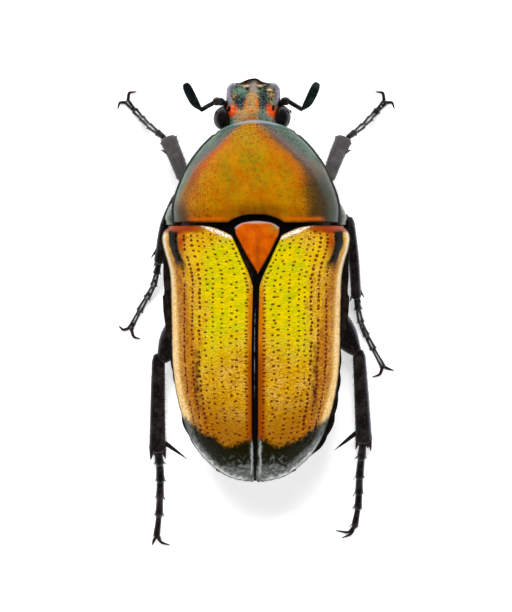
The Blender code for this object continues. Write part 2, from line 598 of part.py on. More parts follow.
def mouthparts():
    upper = []
    lower = []
    for y, half in MOUTH_ROWS:
        z = smooth(HEAD_LOW, y) - SEAM
        across = [half * s for s in steps(-1, 1, 5)]
        upper.append([(x + HEAD_SHIFT, y, z) for x in across])
        lower.append([(x + HEAD_SHIFT, y, z - MOUTH_THICK + MOUTH_ROUND * x ** 2) for x in across])
    palps = []
    for sign in (-1, 1):
        points = [(sign * x + HEAD_SHIFT, y, z) for x, y, z in PALP]
        sizes = [THIN] * 5 + [PALP_END]
        palps.append(tube("piece", path_through(points, 6), sizes, sizes, 6))
    body = slab("mouthparts", upper, lower)
    boolean(body, palps, "UNION")
    finish_node(body, "mouthparts", BLACK_BROWN)


def eye(side):
    finish_node(ball("eye", EYES[side], EYE_HALF, 14), "eye_" + side, GLOSS_BLACK)


def antenna(side):
    path = path_through(ANTENNAE[side]["stalk"], len(ANTENNA_HALF))
    finish_node(tube("antenna", path, ANTENNA_HALF, ANTENNA_HALF), "antenna_" + side, GREEN_BLACK)


def club(side):
    # Three leaves that lie against one another and are joined at their root.
    root, point = [Vector(p) for p in ANTENNAE[side]["club"]]
    leaves = []
    for k in (-1, 0, 1):
        drop = Vector((0, 0, LAMELLA_STEP * k))
        path = path_through((root + drop * 0.8, root.lerp(point, 0.5) + drop, point + drop * 0.9), 7)
        widths = [CLUB_HALF * w for w in CLUB_WIDTHS]
        leaves.append(tube("club", path, widths, [LAMELLA_THICK * w / CLUB_HALF for w in widths]))
    boolean(leaves[1], [leaves[0], leaves[2]], "UNION")
    finish_node(leaves[1], "club_" + side, GREEN_BLACK)


def femur(leg, name):
    half = leg["femur_half"]
    path = path_through(leg["femur"], len(FEMUR_WIDTHS))
    widths = [half * w for w in FEMUR_WIDTHS]
    heights = [FEMUR_THICK * h for h in FEMUR_HEIGHTS]
    finish_node(tube("femur", path, widths, heights, 10), name, BLACK_BROWN)


def tibia(leg, name):
    thin, wide = leg["tibia_half"]
    count = len(TIBIA_WIDTHS)
    path = path_through(leg["tibia"], count)
    widths = [mix(thin, wide, t) * w for t, w in zip(steps(0, 1, count), TIBIA_WIDTHS)]
    heights = [TIBIA_THICK * h for h in TIBIA_HEIGHTS]
    body = tube("tibia", path, widths, heights)
    boolean(body, [spike(root, point) for root, point in leg["spurs"]], "UNION")
    finish_node(body, name, BLACK_BROWN)


def tarsus_size(run):
    # Swelling along the foot: each joint is narrow at its root and widest near its end.
    share = run * TARSUS_JOINTS % 1.0
    swell = math.sin(math.pi * min(share / TARSUS_PEAK, 1.0) / 2)
    return TARSUS_ROOT + TARSUS_SWELL * swell * (1 if share < 0.9 else 0.3)


def tarsus(leg, name, sturdy):
    runs = [(k + s) / TARSUS_JOINTS for k in range(TARSUS_JOINTS) for s in TARSUS_SHARES] + [1.0]
    fine = path_through(leg["foot"], 101)
    path = [fine[round(100 * r)] for r in runs]
    for point in path:
        point.z = max(point.z, FOOT_LEVEL)
    sizes = [mix(THIN + sturdy, THIN, r) * tarsus_size(r) for r in runs]
    body = tube("tarsus", path, sizes, sizes)
    claws = [spike(path[-2], point, bend) for bend, point in leg["claws"]]
    boolean(body, claws, "UNION")
    finish_node(body, name, BLACK_BROWN)


def mirrored(value):
    # The same leg on the other side: every point's x changes sign.
    if isinstance(value, dict):
        return {key: part if "half" in key else mirrored(part) for key, part in value.items()}
    if isinstance(value[0], tuple):
        return tuple(mirrored(part) for part in value)
    return (-value[0],) + value[1:]


def coxa(leg, name, sign):
    if "coxa" in leg:
        finish_node(ball("coxa", leg["coxa"], leg["coxa_half"]), name, BLACK_BROWN)
        return
    path = path_through([(sign * x, y, z) for x, y, z in HIND_COXA], 7)
    wide, tall = [[(i, size[axis]) for i, size in enumerate(HIND_COXA_HALF)] for axis in (0, 1)]
    widths = [smooth(wide, t) * e for t, e in zip(steps(0, 2, 7), HIND_COXA_ENDS)]
    heights = [smooth(tall, t) * e for t, e in zip(steps(0, 2, 7), HIND_COXA_ENDS)]
    finish_node(tube("coxa", path, widths, heights, 10), name, BLACK_BROWN)


def legs():
    pairs = (("fore", FORE_LEG, mirrored(FORE_LEG), 0.0), ("middle", LEFT_MIDDLE_LEG, RIGHT_MIDDLE_LEG, 0.0),
             ("hind", LEFT_HIND_LEG, RIGHT_HIND_LEG, TARSUS_STURDY))
    for place, left, right, sturdy in pairs:
        for side, sign, leg in (("left", -1, left), ("right", 1, right)):
            tag = "_" + place + "_" + side
            coxa(leg, "coxa" + tag, sign)
            femur(leg, "femur" + tag)
            tibia(leg, "tibia" + tag)
            tarsus(leg, "tarsus" + tag, sturdy)


def build():
    clear_scene()
    head()
    mouthparts()
    pronotum()
    prosternum()
    scutellum()
    sternum()
    abdomen()
    pygidium()
    for side, sign in (("left", -1), ("right", 1)):
        eye(side)
        antenna(side)
        club(side)
        elytron(side, sign)
        epimeron(side, sign)
    legs()


build()
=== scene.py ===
import math
import random

import bmesh
import bpy
import numpy as np
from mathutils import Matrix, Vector


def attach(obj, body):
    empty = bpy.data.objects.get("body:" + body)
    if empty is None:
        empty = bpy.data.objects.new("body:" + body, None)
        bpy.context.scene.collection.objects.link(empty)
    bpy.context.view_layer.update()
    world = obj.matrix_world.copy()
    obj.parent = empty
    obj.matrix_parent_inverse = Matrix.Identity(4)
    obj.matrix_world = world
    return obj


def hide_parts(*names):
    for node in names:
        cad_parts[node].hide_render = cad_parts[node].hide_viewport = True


# Flower beetle, life size. All sizes in this file are millimetres until makePiece turns them into metres.
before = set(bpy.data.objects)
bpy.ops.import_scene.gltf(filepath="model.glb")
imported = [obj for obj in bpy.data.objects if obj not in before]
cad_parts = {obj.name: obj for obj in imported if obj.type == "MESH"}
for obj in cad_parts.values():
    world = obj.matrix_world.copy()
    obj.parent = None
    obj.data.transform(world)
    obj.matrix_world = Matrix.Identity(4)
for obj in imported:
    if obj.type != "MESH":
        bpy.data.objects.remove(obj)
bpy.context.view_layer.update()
print("frame loaded with", len(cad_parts), "solids")

mm = 0.001


# Curves and small maths

def slopeAt(pairs, k):
    def steep(i):
        return (pairs[i + 1][1] - pairs[i][1]) / (pairs[i + 1][0] - pairs[i][0])

    if k in (0, len(pairs) - 1):
        return steep(max(k - 1, 0))
    before, after = steep(k - 1), steep(k)
    return 0.0 if before * after <= 0 else 2 * before * after / (before + after)


def curveAt(pairs, at):
    # smooth curve through a few pairs, held level beyond its ends
    if at <= pairs[0][0]:
        return pairs[0][1]
    if at >= pairs[-1][0]:
        return pairs[-1][1]
    k = max(i for i in range(len(pairs) - 1) if pairs[i][0] <= at)
    span = pairs[k + 1][0] - pairs[k][0]
    t = (at - pairs[k][0]) / span
    climb = (1 + 2 * t) * (1 - t) ** 2 * pairs[k][1] + t * t * (3 - 2 * t) * pairs[k + 1][1]
    lean = t * (1 - t) ** 2 * slopeAt(pairs, k) - t * t * (1 - t) * slopeAt(pairs, k + 1)
    return climb + span * lean


curveTables = {}


def curve(pairs):
    # the same curve for whole arrays, from a table that is worked out once
    key = tuple(pairs)
    if key not in curveTables:
        xs = np.linspace(pairs[0][0], pairs[-1][0], 500)
        curveTables[key] = xs, np.array([curveAt(pairs, x) for x in xs])
    xs, ys = curveTables[key]
    return lambda at: np.interp(at, xs, ys)


def between(a, b, t):
    return a + (b - a) * t


def rise(low, high, value):
    # 0 at low, 1 at high, soft in between
    t = np.clip((value - low) / (high - low), 0, 1)
    return t * t * (3 - 2 * t)


def bump(value, middle, width):
    return np.exp(-((value - middle) / width) ** 2)


def window(value, start, full, stillFull, end):
    # 0 at start, 1 from full to stillFull and 0 again at end
    return rise(start, full, value) * rise(end, stillFull, value)


def ridges(value, rows):
    # sum of bumps, each with its height, its place and its spread
    return sum(tall * bump(value, middle, wide) for tall, middle, wide in rows)


def blotches(x, y, size, seed):
    # soft uneven field between about -1 and 1
    dice = random.Random(seed)
    total = 0
    for k in range(9):
        turn = dice.uniform(0, math.pi)
        wave = 2 * math.pi / size * dice.uniform(0.6, 1.7)
        total = total + np.sin((x * math.cos(turn) + y * math.sin(turn)) * wave + dice.uniform(0, 6.28))
    return total / 3.5


def pathThrough(points, count):
    knots = [Vector(p) for p in points]
    axes = [[(i, knots[i][axis]) for i in range(len(knots))] for axis in range(3)]
    return [Vector([curveAt(axis, t) for axis in axes]) for t in np.linspace(0, len(knots) - 1, count)]


# Materials

def paint(code):
    # hex colour as seen on a screen, turned into the linear colour that a shader takes
    parts = [int(code[i:i + 2], 16) / 255 for i in (0, 2, 4)]
    return tuple(p / 12.92 if p < 0.04 else ((p + 0.055) / 1.055) ** 2.4 for p in parts) + (1.0,)


class Wire:
    # one output of a node, so that shader maths reads as plain expressions
    def __init__(self, nodes, socket):
        self.nodes = nodes
        self.socket = socket

    def maths(self, operation, a, b):
        return self.nodes.put("ShaderNodeMath", {"operation": operation}, {0: a, 1: b})

    def __add__(self, other):
        return self.maths("ADD", self, other)

    def __sub__(self, other):
        return self.maths("SUBTRACT", self, other)

    def __rsub__(self, other):
        return self.maths("SUBTRACT", other, self)

    def __mul__(self, other):
        return self.maths("MULTIPLY", self, other)

    __radd__ = __add__
    __rmul__ = __mul__


class Nodes:
    # the nodes of a material or of the world
    def __init__(self, tree):
        self.tree = tree

    def put(self, kind, settings, sockets, out=0):
        # adds any node: its settings first, then the values or links of its sockets
        node = self.tree.nodes.new(kind)
        for key, value in settings.items():
            setattr(node, key, value)
        for key, value in sockets.items():
            self.feed(node.inputs[key], value)
        return Wire(self, node.outputs[out])

    def feed(self, socket, value):
        if isinstance(value, Wire):
            self.tree.links.new(value.socket, socket)
        else:
            socket.default_value = value

    def soft(self, value, low, high, first=0.0, last=1.0):
        # first at low, last at high, soft in between
        return self.put("ShaderNodeMapRange", {"interpolation_type": "SMOOTHSTEP"},
                        {0: value, 1: low, 2: high, 3: first, 4: last})


class Finish(Nodes):
    # a material made of nodes on one Principled shader
    def __init__(self, name, specular, coatRough=0.1, coatIor=1.45, **plain):
        self.material = bpy.data.materials.new(name)
        self.material.use_nodes = True
        Nodes.__init__(self, self.material.node_tree)
        self.inputs = self.tree.nodes["Principled BSDF"].inputs
        plain.update(Specular_IOR_Level=specular, Coat_Roughness=coatRough, Coat_IOR=coatIor)
        for socket, value in plain.items():
            self.inputs[socket.replace("_", " ")].default_value = value
        # patterns are sized in millimetres
        spot = self.put("ShaderNodeTexCoord", {}, {}, "Object")
        self.place = self.put("ShaderNodeVectorMath", {"operation": "SCALE"}, {0: spot, "Scale": 1 / mm})

    def mark(self, name):
        # one of the piece's own painted masks; 0 where the piece has none of that name
        return self.put("ShaderNodeAttribute", {"attribute_name": name}, {}, "Fac")

    def noise(self, scale, detail=3.0, roughness=0.5, where=None):
        return self.put("ShaderNodeTexNoise", {}, {"Vector": where or self.place, "Scale": scale,
                                                   "Detail": detail, "Roughness": roughness})

    def patches(self, scale, low, high, detail=4.0, roughness=0.5):
        return self.soft(self.noise(scale, detail, roughness), low, high)

    def cells(self, scale, feature="F1", where=None):
        return self.put("ShaderNodeTexVoronoi", {"feature": feature},
                        {"Vector": where or self.place, "Scale": scale})

    def stretch(self, by):
        return self.put("ShaderNodeVectorMath", {"operation": "MULTIPLY"}, {0: self.place, 1: by})

    def blend(self, share, first, second):
        # colours are hex codes or wires
        first, second = (paint(c) if isinstance(c, str) else c for c in (first, second))
        return self.put("ShaderNodeMix", {"data_type": "RGBA"}, {0: share, 6: first, 7: second}, 2)

    def layers(self, colour, rows, made={}):
        # lays colours over the first one; a mask or colour that isn't in made is a mark or a hex code
        for mask, strength, shade in rows:
            share = made[mask] if mask in made else self.mark(mask)
            colour = self.blend(share * strength, colour, made.get(shade, shade))
        return colour

    def dents(self, height, distance, strength):
        return self.put("ShaderNodeBump", {}, {"Height": height, "Distance": distance * mm, "Strength": strength})

    def wear(self, **links):
        for socket, value in links.items():
            self.feed(self.inputs[socket.replace("_", " ")], value)
        return self.material


# Meshes

def row(x, y, z):
    # points from arrays or single numbers
    return np.stack(np.broadcast_arrays(x, y, z), axis=-1)


class Shape:
    # points and faces of one piece, with masks on the points
    def __init__(self):
        self.points = []
        self.faces = []
        self.marks = {}

    def add(self, points, faces, **marks):
        start = len(self.points)
        self.points += [tuple(p) for p in points]
        self.faces += [tuple(start + i for i in face) for face in faces]
        for name in set(self.marks) | set(marks):
            values = self.marks.setdefault(name, [0.0] * start)
            added = marks.get(name, 0.0)
            values += list(added) if hasattr(added, "__len__") else [added] * len(points)


def addObject(name, data):
    thing = bpy.data.objects.new(name, data)
    bpy.context.scene.collection.objects.link(thing)
    return thing


def makePiece(name, shape, material, nodes, sharpAngle=50):
    mesh = bpy.data.meshes.new(name)
    mesh.from_pydata((np.array(shape.points) * mm).tolist(), [], shape.faces)
    tidy = bmesh.new()
    tidy.from_mesh(mesh)
    bmesh.ops.recalc_face_normals(tidy, faces=tidy.faces)
    tidy.to_mesh(mesh)
    tidy.free()
    for mark, values in shape.marks.items():
        layer = mesh.attributes.new(mark, "FLOAT", "POINT")
        layer.data.foreach_set("value", np.array(values, dtype=np.float32))
    mesh.shade_smooth()
    mesh.set_sharp_from_angle(angle=math.radians(sharpAngle))
    mesh.materials.append(material)
    piece = addObject(name, mesh)
    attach(piece, "root")
    if nodes:
        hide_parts(*nodes)
    return piece


def normalsOf(grid):
    # unit normals of a grid of points, turned upwards and outwards
    down = np.gradient(grid, axis=0)
    along = np.gradient(grid, axis=1)
    normal = np.cross(along, down)
    normal /= np.maximum(np.linalg.norm(normal, axis=2, keepdims=True), 1e-9)
    middle = normal[normal.shape[0] // 2, normal.shape[1] // 2]
    return normal if middle[2] > 0 else -normal


def shell(outer, inner, step=5, marks={}):
    # closed shell of a fine outer grid and every step-th point of an inner one; with step 0 the inner grid
    # has the outer one's every fifth row and any number of columns
    shape = Shape()
    inner = inner[::step, ::step] if step else inner
    rows, columns = outer.shape[:2]
    index = np.arange(rows * columns).reshape(rows, columns)
    low = rows * columns + np.arange(inner.shape[0] * inner.shape[1]).reshape(inner.shape[:2])
    for grid in (index, low.T):
        quads = np.stack((grid[:-1, :-1], grid[:-1, 1:], grid[1:, 1:], grid[1:, :-1]), axis=2)
        shape.faces += [tuple(face) for face in quads.reshape(-1, 4).tolist()]
    shape.points = [tuple(p) for p in outer.reshape(-1, 3).tolist() + inner.reshape(-1, 3).tolist()]
    for name, values in marks.items():
        plain = values[::step, ::step] if step else np.zeros(inner.shape[:2])
        shape.marks[name] = values.reshape(-1).tolist() + plain.reshape(-1).tolist()
    for fine, coarse in ((index[:, -1], low[:, -1]), (index[::-1, 0], low[::-1, 0]), (index[0], low[0]),
                         (index[-1][::-1], low[-1][::-1])):
        pace, left = divmod(len(fine) - 1, len(coarse) - 1)
        if left:
            shape.faces.append(tuple(fine.tolist() + coarse[::-1].tolist()))
            continue
        for k in range(len(coarse) - 1):
            strip = fine[k * pace:(k + 1) * pace + 1].tolist()
            shape.faces.append(tuple(strip + [int(coarse[k + 1]), int(coarse[k])]))
    return shape


def roundEdge(grid, distance, edge, depth=1.0):
    # lowers a grid to a quarter round where it comes near its edge
    near = np.clip(edge - distance, 0, edge)
    grid[..., 2] -= (edge - np.sqrt(np.maximum(edge ** 2 - near ** 2, 0))) * depth


def aheadAt(path, i):
    return (path[min(i + 1, len(path) - 1)] - path[max(i - 1, 0)]).normalized()


def crossing(ahead):
    # the level direction across another one
    return ahead.cross(Vector((0, 0, 1))).normalized()


def limb(path, wide, tall, sides=18, roundEnds=3):
    # tube with oval rings and domed ends; nothing goes below the floor
    last = len(path) - 1
    rings = [(path[i], aheadAt(path, i), wide[i], tall[i]) for i in range(last + 1)]
    for end, sign in ((0, -1), (last, 1)):
        centre, ahead, w, t = rings[end if sign < 0 else -1]
        dome = []
        for k in range(1, roundEnds + 1):
            turn = k / (roundEnds + 0.15) * math.pi / 2
            reach = min(w, t) * math.sin(turn) * sign * 0.8
            dome.append((centre + ahead * reach, ahead, w * math.cos(turn), t * math.cos(turn)))
        rings = dome[::-1] + rings if sign < 0 else rings + dome
    points = []
    for centre, ahead, w, t in rings:
        across = crossing(ahead)
        lift = across.cross(ahead)
        for k in range(sides):
            angle = 2 * math.pi * (k + 0.5) / sides
            point = centre + across * w * math.cos(angle) + lift * t * math.sin(angle)
            point.z = max(point.z, 0.0)
            points.append(point)
    faces = [(r + k, r + (k + 1) % sides, r + sides + (k + 1) % sides, r + sides + k)
             for r in range(0, (len(rings) - 1) * sides, sides) for k in range(sides)]
    return points, faces + [tuple(range(sides)), tuple(range((len(rings) - 1) * sides, len(rings) * sides))]


def tube(path, halfAt, tallAt=None, sides=18, roundEnds=3):
    # limb whose half width and half height follow from the share of the way along it
    shares = np.linspace(0, 1, len(path))
    wide = [halfAt(r) for r in shares]
    return limb(path, wide, [tallAt(r) for r in shares] if tallAt else wide, sides, roundEnds)


def spike(knots, count, thick, thin, power):
    # tapering spur or claw; with a higher power it stays thick for longer
    return tube(pathThrough(knots, count), lambda r: between(thick, thin, r ** power), None, 12, 2)


def bristle(root, way, length, thick=0.014):
    # a stiff hair: a thin cone
    way = Vector(way).normalized()
    root = Vector(root)
    side = way.cross(Vector((0.3, 0.2, 0.93))).normalized()
    other = way.cross(side)
    base = [root + (side * math.cos(a) + other * math.sin(a)) * thick for a in (0, 2.09, 4.19)]
    top = root + way * length
    for point in base + [top]:
        point.z = max(point.z, 0.002)
    return base + [top], [(0, 2, 1), (0, 1, 3), (1, 2, 3), (2, 0, 3)]


def ball(centre, halves, rings=36, sides=48):
    points = [(centre[0], centre[1], centre[2] + halves[2])]
    for r in range(1, rings):
        tilt = math.pi * r / rings
        for s in range(sides):
            turn = 2 * math.pi * s / sides
            way = (math.sin(tilt) * math.cos(turn), math.sin(tilt) * math.sin(turn), math.cos(tilt))
            points.append(tuple(c + h * w for c, h, w in zip(centre, halves, way)))
    points.append((centre[0], centre[1], centre[2] - halves[2]))
    last = len(points) - 1
    ends = 1 + (rings - 2) * sides
    faces = [(0, 1 + s, 1 + (s + 1) % sides) for s in range(sides)]
    faces += [(a + s, a + sides + s, a + sides + (s + 1) % sides, a + (s + 1) % sides)
              for a in range(1, ends, sides) for s in range(sides)]
    return points, faces + [(last, ends + (s + 1) % sides, ends + s) for s in range(sides)]


# The back's cross-section is a flattened arch
archWide = 2.5
archTall = 1.9


def archPoint(angle, half, rim, tall):
    x = half * np.sign(angle) * np.abs(np.sin(angle)) ** (2 / archWide)
    return x, rim + tall * np.abs(np.cos(angle)) ** (2 / archTall)


def archRows(starts, halves, rims, talls, columns):
    # for each row the angles that space its points evenly along the arch, from a start angle to the side edge,
    # and its length
    angles, arcs = [], []
    for start, half, rim, tall in zip(starts, halves, rims, talls):
        fine = np.linspace(start, math.pi / 2, 300)
        x, z = archPoint(fine, half, rim, tall)
        run = np.concatenate(([0], np.cumsum(np.hypot(np.diff(x), np.diff(z)))))
        angles.append(np.interp(np.linspace(0, run[-1], columns), run, fine))
        arcs.append(run[-1])
    return np.array(angles), np.array(arcs)


def dent(grid, normal, mask, row, column, radius, depth):
    # presses one round pit into a grid and marks it
    row = int(min(max(row, 1), grid.shape[0] - 2))
    column = int(min(max(column, 1), grid.shape[1] - 2))
    centre = grid[row, column].copy()
    cell = min(np.linalg.norm(grid[row + 1, column] - centre), np.linalg.norm(grid[row, column + 1] - centre))
    reach = min(int(radius / max(cell, 0.008)) + 2, 12)
    near = (slice(max(row - reach, 0), row + reach + 1), slice(max(column - reach, 0), column + reach + 1))
    far = np.linalg.norm(grid[near] - centre, axis=2) / radius
    hollow = np.clip(1 - far ** 2, 0, 1) ** 2
    grid[near] -= normal[near] * (hollow * depth)[..., None]
    mask[near] = np.maximum(mask[near], np.clip(1.5 - 1.5 * far, 0, 1))


# Wing cases

wingCase = {
    "halfWidths": ((-1.6, 5.2), (0.8, 5.25), (2.2, 5.3), (3.2, 5.46), (4.1, 5.72), (4.67, 5.8), (5.05, 5.7),
                   (5.32, 5.42)),
    "tops": ((-10.47, 6.2), (-10.2, 6.8), (-9.6, 7.7), (-8.5, 8.7), (-7.0, 9.45), (-5.0, 9.95), (-2.0, 10.2),
             (2.0, 10.2), (4.0, 10.1), (5.32, 9.95)),
    "rims": ((-10.47, 5.7), (-9.0, 5.4), (-7.0, 5.2), (-3.0, 5.15), (0.0, 5.25), (3.4, 5.6), (5.32, 6.2)),
    "innerEdge": ((-10.5, 0.06), (-8.4, 0.09), (-7.3, 0.2), (1.5, 0.2), (2.2, 0.38), (3.3, 0.87), (3.8, 1.08),
                  (4.8, 1.55)),
    "suture": ((-10.5, -0.07), (-2.3, -0.07), (1.2, 0.0), (3.0, 0.04)),
    "bulgeY": -1.6, "endY": -10.47, "frontY": 5.42, "cornerY": 4.8, "squareness": 2.25, "thick": 0.8,
    "rearAngle": 88.2, "rearRows": 251, "frontRows": 155, "columns": 186, "innerStep": 5,
    "pitSpacing": 0.28, "pitRadius": 0.085, "pitDepth": 0.03, "frontRound": 0.34, "seamRound": (0.09, 0.2),
    # swellings of the shoulder and the rear: height, x, its spread, y, its spread
    "swellings": ((0.13, 4.55, 0.75, 4.0, 0.9), (0.16, 3.1, 0.9, -7.5, 0.9)),
    # ridges and furrows: height, place and spread, across the back, from the seam at the rear and from the side
    "ribs": ((0.025, 1.75, 0.35), (0.025, 3.3, 0.3)), "seamRidge": ((0.07, 0.16, 0.1), (-0.05, 0.42, 0.16)),
    "sideRidge": ((0.04, 0.08, 0.09), (-0.03, 0.3, 0.1)),
    # rows of pits: distance from the seam at y = 0.8, unevenness and share of the usual spacing
    "pitRows": {-1: ((0.58, 0.03, 0.87), (1.2, 0.07, 1.5), (1.5, 0.06, 1.6), (2.12, 0.03, 1.1), (2.7, 0.03, 1.1),
                     (3.1, 0.05, 1.3), (3.52, 0.03, 1.0), (3.97, 0.03, 0.95), (4.47, 0.04, 0.8)),
                1: ((0.56, 0.03, 0.87), (1.12, 0.08, 1.4), (1.44, 0.08, 1.6), (2.08, 0.03, 1.1),
                    (2.68, 0.04, 1.1), (3.06, 0.05, 1.2), (3.45, 0.03, 1.0), (3.9, 0.03, 0.95), (4.4, 0.04, 0.8))},
    # width of the pale side band, a painted reflection; end of the brown strip inside it; front line of the dark
    # rear end, its own dark colour with a painted reflection; width of the silver crescent, a painted reflection;
    # edges of the black shoulder mark, painted shade; and width of the front lip, a painted highlight
    "band": ((-9.0, 0.08), (-8.0, 0.12), (-5.4, 0.26), (-2.3, 0.32), (1.0, 0.25), (2.6, 0.18), (3.6, 0.12),
             (4.3, 0.16), (5.0, 0.24)),
    "stripEnd": ((-8.0, 1.3), (-3.6, 1.7), (-1.8, 1.4), (1.0, 1.05), (2.5, 0.8)),
    "darkFront": ((0, -7.8), (0.5, -8.0), (1.0, -8.28), (1.6, -8.36), (2.1, -8.2), (2.6, -7.85), (3.4, -7.35),
                  (4.0, -6.95), (4.6, -6.7)),
    "crescent": ((-9.6, 0.2), (-9.2, 0.22), (-8.7, 0.26), (-7.9, 0.26), (-6.9, 0.2), (-6.2, 0.05)),
    "shoulderOuter": ((2.7, 4.93), (3.4, 5.05), (3.9, 5.26), (4.4, 5.4), (5.0, 5.42)),
    "shoulderInner": ((2.7, 4.3), (3.07, 4.36), (3.4, 4.55), (3.9, 4.73), (4.5, 4.84), (5.0, 4.86)),
    "lip": ((1.3, 0.16), (1.8, 0.3), (2.6, 0.3), (3.4, 0.05)),
    "ground": ("d4a00c", "d8ac40"), "umber": ("c07a04", "8c4602"), "shoulderShadeColour": ("060c0b", "160c02"),
    "peach": ("fbe0a4", "e4b068", "b87c30"), "night": ("1c1a04", "080801"), "silver": ("3c403a", "7c807a"),
    "flank": ("3c403c", "6c706c"),
    # mask, strength and colour of each layer
    # the peach side band and the silver crescent and flank are painted reflections, the front specks a painted
    # highlight, the shoulder mark painted shade and the dark rear end partly painted reflection
    "layers": (("ripples", 0.7, "9c6804"), ("green", 0.9, "e0c600"), ("lime", 0.8, "a4b800"),
               ("greenRipples", 0.35, "a89002"), ("orange", 0.85, "9a5a00"), ("stripPatches", 1.0, "umber"),
               ("flecks", 1.0, "7a4404"), ("net", 1.0, "7a4c08"), ("streak", 0.95, "2c1404"),
               ("peachReflectionPatches", 1.0, "peach"), ("peachReflectionFreckles", 1.0, "peach"), ("lipPale", 0.7, "d4d0c4"),
               ("sun", 0.7, "dcb400"), ("redPatches", 1.0, "942e00"), ("lipRed", 0.7, "7c2400"),
               ("shoulderShadeSoft", 1.0, "shoulderShadeColour"), ("seam", 0.8, "b86004"), ("glow", 0.75, "7c2c02"),
               ("pits", 1.0, "541002"), ("darkSoft", 1.0, "night"), ("silver", 0.85, "silverReflectionColour"),
               ("flank", 0.8, "flankReflectionColour"), ("gleam", 0.7, "d4d8d8"), ("teal", 0.85, "1c3430"),
               ("frontHighlightSpecks", 1.0, "fbf6f4")),
}


def along(pairs, at):
    # straight lines from pair to pair
    return np.interp(at, [pair[0] for pair in pairs], [pair[1] for pair in pairs])


def wingSize(y, inset):
    spec = wingCase
    tail, power = spec["bulgeY"] - spec["endY"], spec["squareness"]
    rim = curve(spec["rims"])(y)
    tall = (curve(spec["tops"])(y) - rim) * (1 - inset / 5.0)
    run = np.clip((spec["bulgeY"] - y) / tail, 0, 1)
    half = curve(spec["halfWidths"])(y) * (1 - run ** power) ** (1 / power)
    drawn = np.where(run > 0, spec["bulgeY"] - (spec["bulgeY"] - y) * (1 - inset / tail), y)
    return half * (1 - inset / 5.2), rim, tall, drawn


def wingFront(shares):
    # front edge of a wing case, bent back towards the seam
    return between(wingCase["cornerY"], wingCase["frontY"], 1 - np.clip(1 - shares / 0.4, 0, 1) ** 2.2)


def wingGrid(sign, inset):
    # grid of one wing case from its rear end forwards, and the length across of each row
    spec = wingCase
    columns, bulgeY = spec["columns"], spec["bulgeY"]
    rear = np.sin(np.radians(np.linspace(spec["rearAngle"], 0, spec["rearRows"])))[:, None] * np.ones(columns)
    front = np.linspace(0, 1, spec["frontRows"])[1:, None] * (wingFront(np.linspace(0, 1, columns)) - bulgeY)
    y = bulgeY + np.vstack(((spec["endY"] - bulgeY) * rear, front))
    half, rim, tall, drawn = wingSize(y, inset)
    start = curve(spec["innerEdge"])(y[:, 0]) + sign * curve(spec["suture"])(y[:, 0])
    start = np.arcsin(np.minimum(1.0, np.maximum(0.01, start) / half[:, 0]) ** (archWide / 2))
    angles, arcs = archRows(start, half[:, -1], rim[:, -1], tall[:, -1], columns)
    x, z = archPoint(angles, half, rim, tall)
    return row(sign * x, drawn, z), arcs


def wingRelief(grid, arcs):
    # rounds the edges and raises the shoulder, the rear swelling, the seam ridge and the rim
    spec = wingCase
    normal = normalsOf(grid)
    x, y = np.abs(grid[..., 0]), grid[..., 1]
    shares = np.linspace(0, 1, grid.shape[1])[None, :]
    fromSeam = shares * arcs[:, None]
    fromSide = (1 - shares) * arcs[:, None]
    fromFront = np.clip(wingFront(shares) - y, 0, None)
    height = sum(tall * bump(x, atX, wide) * bump(y, atY, long)
                 for tall, atX, wide, atY, long in spec["swellings"])
    height += ridges(x, spec["ribs"]) + ridges(fromSeam, spec["seamRidge"]) * rise(-6.6, -8.2, y)
    height += ridges(fromSide, spec["sideRidge"])
    height += 0.006 * blotches(grid[..., 0], y, 0.9, 5)
    height += 0.012 * blotches(grid[..., 0], y, 0.35, 8) * rise(-7.9, -8.9, y)
    grid += normal * height[..., None]
    roundEdge(grid, fromFront, spec["frontRound"])
    roundEdge(grid, fromSeam, between(*spec["seamRound"], rise(1.2, 3.5, y)))
    return normalsOf(grid)


def wingPits(grid, normal, sign):
    spec = wingCase
    dice = random.Random(40 + sign)
    pits = np.zeros(grid.shape[:2])
    columnOf = np.abs(grid[int(np.argmin(np.abs(grid[:, 0, 1] - 0.8))), :, 0])
    for middle, uneven, spacing in spec["pitRows"][sign]:
        column = np.interp(middle, columnOf, range(len(columnOf)))
        y = -9.6 + dice.uniform(0, 0.3)
        while y < 5.1:
            at = column + dice.gauss(0, uneven * 22)
            line = grid[:, int(min(max(at, 0), len(columnOf) - 1)), 1]
            size = dice.uniform(0.75, 1.15) * (0.75 if y < -8.2 else 1.5 if middle > 3.4 else 1)
            if dice.random() > 0.07 and y < line[-1] - 0.3:
                row = np.interp(y, line, np.arange(len(line)))
                # each pit is a little wider than long
                for step in (-0.7, 0.7):
                    dent(grid, normal, pits, row, at + step, spec["pitRadius"] * size, spec["pitDepth"] * size)
            y += spec["pitSpacing"] * spacing * dice.uniform(0.75, 1.25)
    return pits


